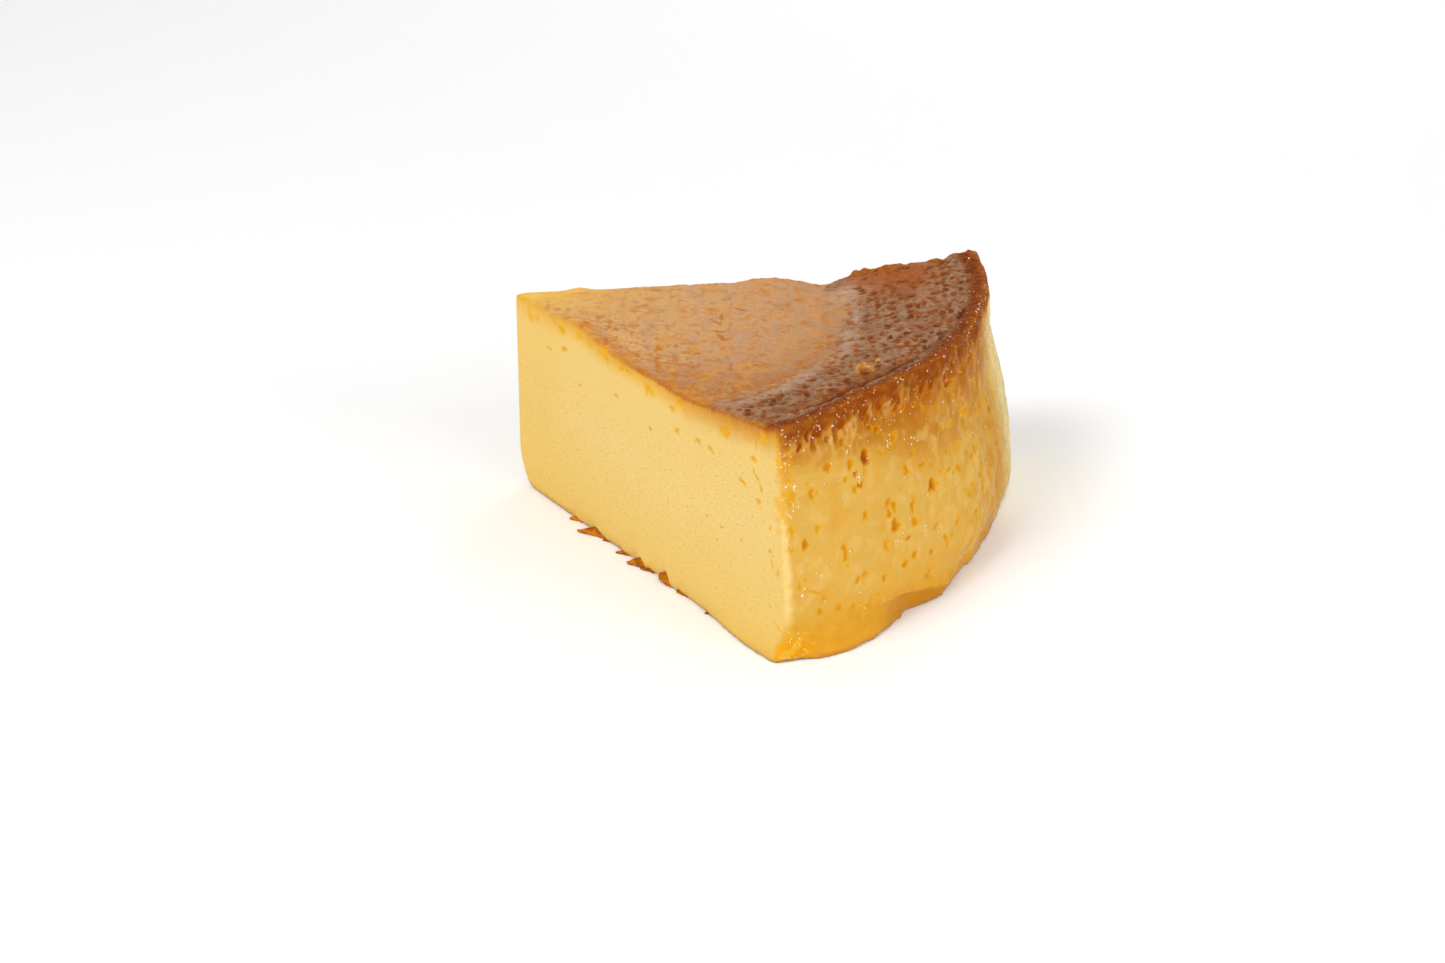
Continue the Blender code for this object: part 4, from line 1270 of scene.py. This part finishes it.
# Where the syrup gathered: turn in degrees, height and width in millimetres, and how many beads.
POOLS = (
    (-32.1, 38.5, 1.0, 4),
    (-31.3, 37.4, 1.4, 4),
    (-31.0, 33.6, 1.8, 5),
    (-31.8, 31.6, 1.4, 3),
    (-21.5, 35.4, 1.4, 6),
    (-21.2, 33.8, 1.0, 3),
    (-22.6, 40.6, 1.6, 4),
    (-15.4, 37.7, 1.6, 6),
    (-15.0, 39.2, 1.0, 2),
    (-11.4, 36.8, 1.8, 5),
    (-14.6, 42.2, 1.2, 3),
    (-26.9, 48.0, 1.2, 4),
    (-28.4, 46.8, 1.2, 3),
    (-24.2, 20.0, 1.0, 2),
    (-30.9, 15.5, 1.2, 3),
    (-28.6, 18.6, 2.4, 2),
    (-16.6, 17.8, 1.6, 4),
    (-11.6, 18.0, 0.6, 2),
    (-4.6, 40.6, 0.8, 2),
    (-2.2, 46.8, 1.6, 3),
    (-22.4, 8.4, 3.0, 6),
)
for degrees, up, wide, count in POOLS:
    for _ in range(count):
        aside, above = draw.gauss(0, wide / 3) * MM, draw.gauss(0, wide / 3) * MM
        _, index, _ = skin_tree.find(wall_at(math.radians(degrees) * ARC + aside, up * MM + above))
        bead_places.append(index)
        bead_sizes.append(draw.uniform(0.10, 0.20) * MM)
BEAD_SQUASH = 0.5

bpy.ops.object.select_all(action="DESELECT")
bpy.ops.mesh.primitive_uv_sphere_add(segments=8, ring_count=4, radius=1.0)
first = bpy.context.object
shape = read_points(first.data)
sides = [list(p.vertices) for p in first.data.polygons]
bpy.data.objects.remove(first)
rows = []
for index, size in zip(bead_places, bead_sizes):
    out = normals[index]
    side = np.cross(out, [draw.gauss(0, 1) for _ in range(3)])
    side /= np.linalg.norm(side)
    bead = shape + np.outer(shape @ side, side) * draw.random() ** 2 * 1.2
    bead -= np.outer(shape @ out, out) * (1.0 - BEAD_SQUASH)
    rows.append(points[index] + out * size * 0.15 + bead * size)
starts = range(0, len(rows) * len(shape), len(shape))
faces = [[start + corner for corner in side] for start in starts for side in sides]
mesh = bpy.data.meshes.new("beads")
mesh.from_pydata(np.concatenate(rows).tolist(), [], faces)
beads = bpy.data.objects.new("beads", mesh)
bpy.context.scene.collection.objects.link(beads)
# A near-white base colour: a painted glint on every bead.
syrup_painted_glint = Finish("syrup_painted_glint")
syrup_painted_glint.set(
    Base_Color=syrup_painted_glint.blend(syrup_painted_glint.cloud(3.0 * MM), (255, 250, 232), (252, 232, 184)),
    Roughness=0.06,
    Specular_IOR_Level=0.9,
)
finish_piece(beads, "syrup_beads", syrup_painted_glint.material)

# ---------------------------------------------------------------------------------------------
# The floor: a plain pale surface that the slice stands on. It is there for the picture, so
# reflections leave it out.

bpy.ops.object.select_all(action="DESELECT")
bpy.ops.mesh.primitive_plane_add(size=6.0, location=(0.0, 0.0, 0.0))
floor = bpy.context.object
floor.name = "floor"
floor.visible_glossy = False
paper = Finish("pale_paper")
paper.set(Base_Color=tint(250, 250, 250), Roughness=0.9)
floor.data.materials.append(paper.material)

# ---------------------------------------------------------------------------------------------
# Light and camera: a sky that is brighter overhead, soft boxes that leave highlights on the syrup,
# and a camera that looks at the near corner of the wall, 24 degrees down.

world = bpy.data.worlds.new("studio")
bpy.context.scene.world = world
world.use_nodes = True
sky = world.node_tree
rays = sky.nodes.new("ShaderNodeTexCoord")
split = sky.nodes.new("ShaderNodeSeparateXYZ")
fade = sky.nodes.new("ShaderNodeMapRange")
sky.links.new(rays.outputs["Generated"], split.inputs[0])
level = sky.nodes.new("ShaderNodeMath")
level.operation = "ABSOLUTE"
sky.links.new(split.outputs["Z"], level.inputs[0])
sky.links.new(level.outputs[0], fade.inputs["Value"])
SKY_FADE = (("From Min", 0.0), ("From Max", 0.8), ("To Min", 0.20), ("To Max", 0.56))
for name, value in SKY_FADE:
    fade.inputs[name].default_value = value
sky.links.new(fade.outputs[0], sky.nodes["Background"].inputs["Strength"])
sky.nodes["Background"].inputs["Color"].default_value = (1.0, 1.0, 1.0, 1.0)


def softbox(name, place, aim, size, power, lit=("diffuse", "glossy", "transmission")):
    """One square soft light that faces the slice, and what it is seen by."""
    light = bpy.data.lights.new(name, "AREA")
    light.shape = "SQUARE"
    light.size = size
    light.energy = power
    lamp = bpy.data.objects.new(name, light)
    bpy.context.scene.collection.objects.link(lamp)
    lamp.location = place
    lamp.rotation_euler = (Vector(aim) - Vector(place)).to_track_quat("-Z", "Y").to_euler()
    for kind in ("diffuse", "glossy", "transmission"):
        setattr(lamp, "visible_" + kind, kind in lit)
    return lamp


softbox("key", (-0.25, -0.65, 0.90), (0.0, 0.0, 0.02), 0.45, 6.5)
softbox("back", (-0.10, 0.90, 0.45), (0.0, 0.0, 0.04), 0.4, 2.2, ("diffuse", "transmission"))
softbox("side", (0.95, -0.25, 0.45), (0.0, 0.0, 0.02), 0.3, 3.0)
softbox("glint", (0.70, -0.45, 0.80), (0.05, 0.0, 0.04), 0.10, 48.0, ("glossy",))
softbox("sheen", (0.60, -0.80, 0.62), (0.05, 0.0, 0.03), 0.22, 24.0, ("glossy",))

CAMERA_FROM_TIP = Vector((302.6, -551.4, 281.1)) * MM
CAMERA_TURN = math.radians(24.54)
CAMERA_DIP = math.radians(24.18)
SENSOR = 36.0
FOCAL_PIXELS = 3000.0
PHOTO_WIDTH = 1445.0
lens = bpy.data.cameras.new("camera")
lens.sensor_width = SENSOR
lens.lens = FOCAL_PIXELS * SENSOR / PHOTO_WIDTH
camera = bpy.data.objects.new("camera", lens)
bpy.context.scene.collection.objects.link(camera)
camera.location = Vector(tip) + CAMERA_FROM_TIP
camera.rotation_euler = (math.pi / 2 - CAMERA_DIP, 0.0, CAMERA_TURN)
bpy.context.scene.camera = camera
bpy.context.scene.view_settings.view_transform = "Standard"
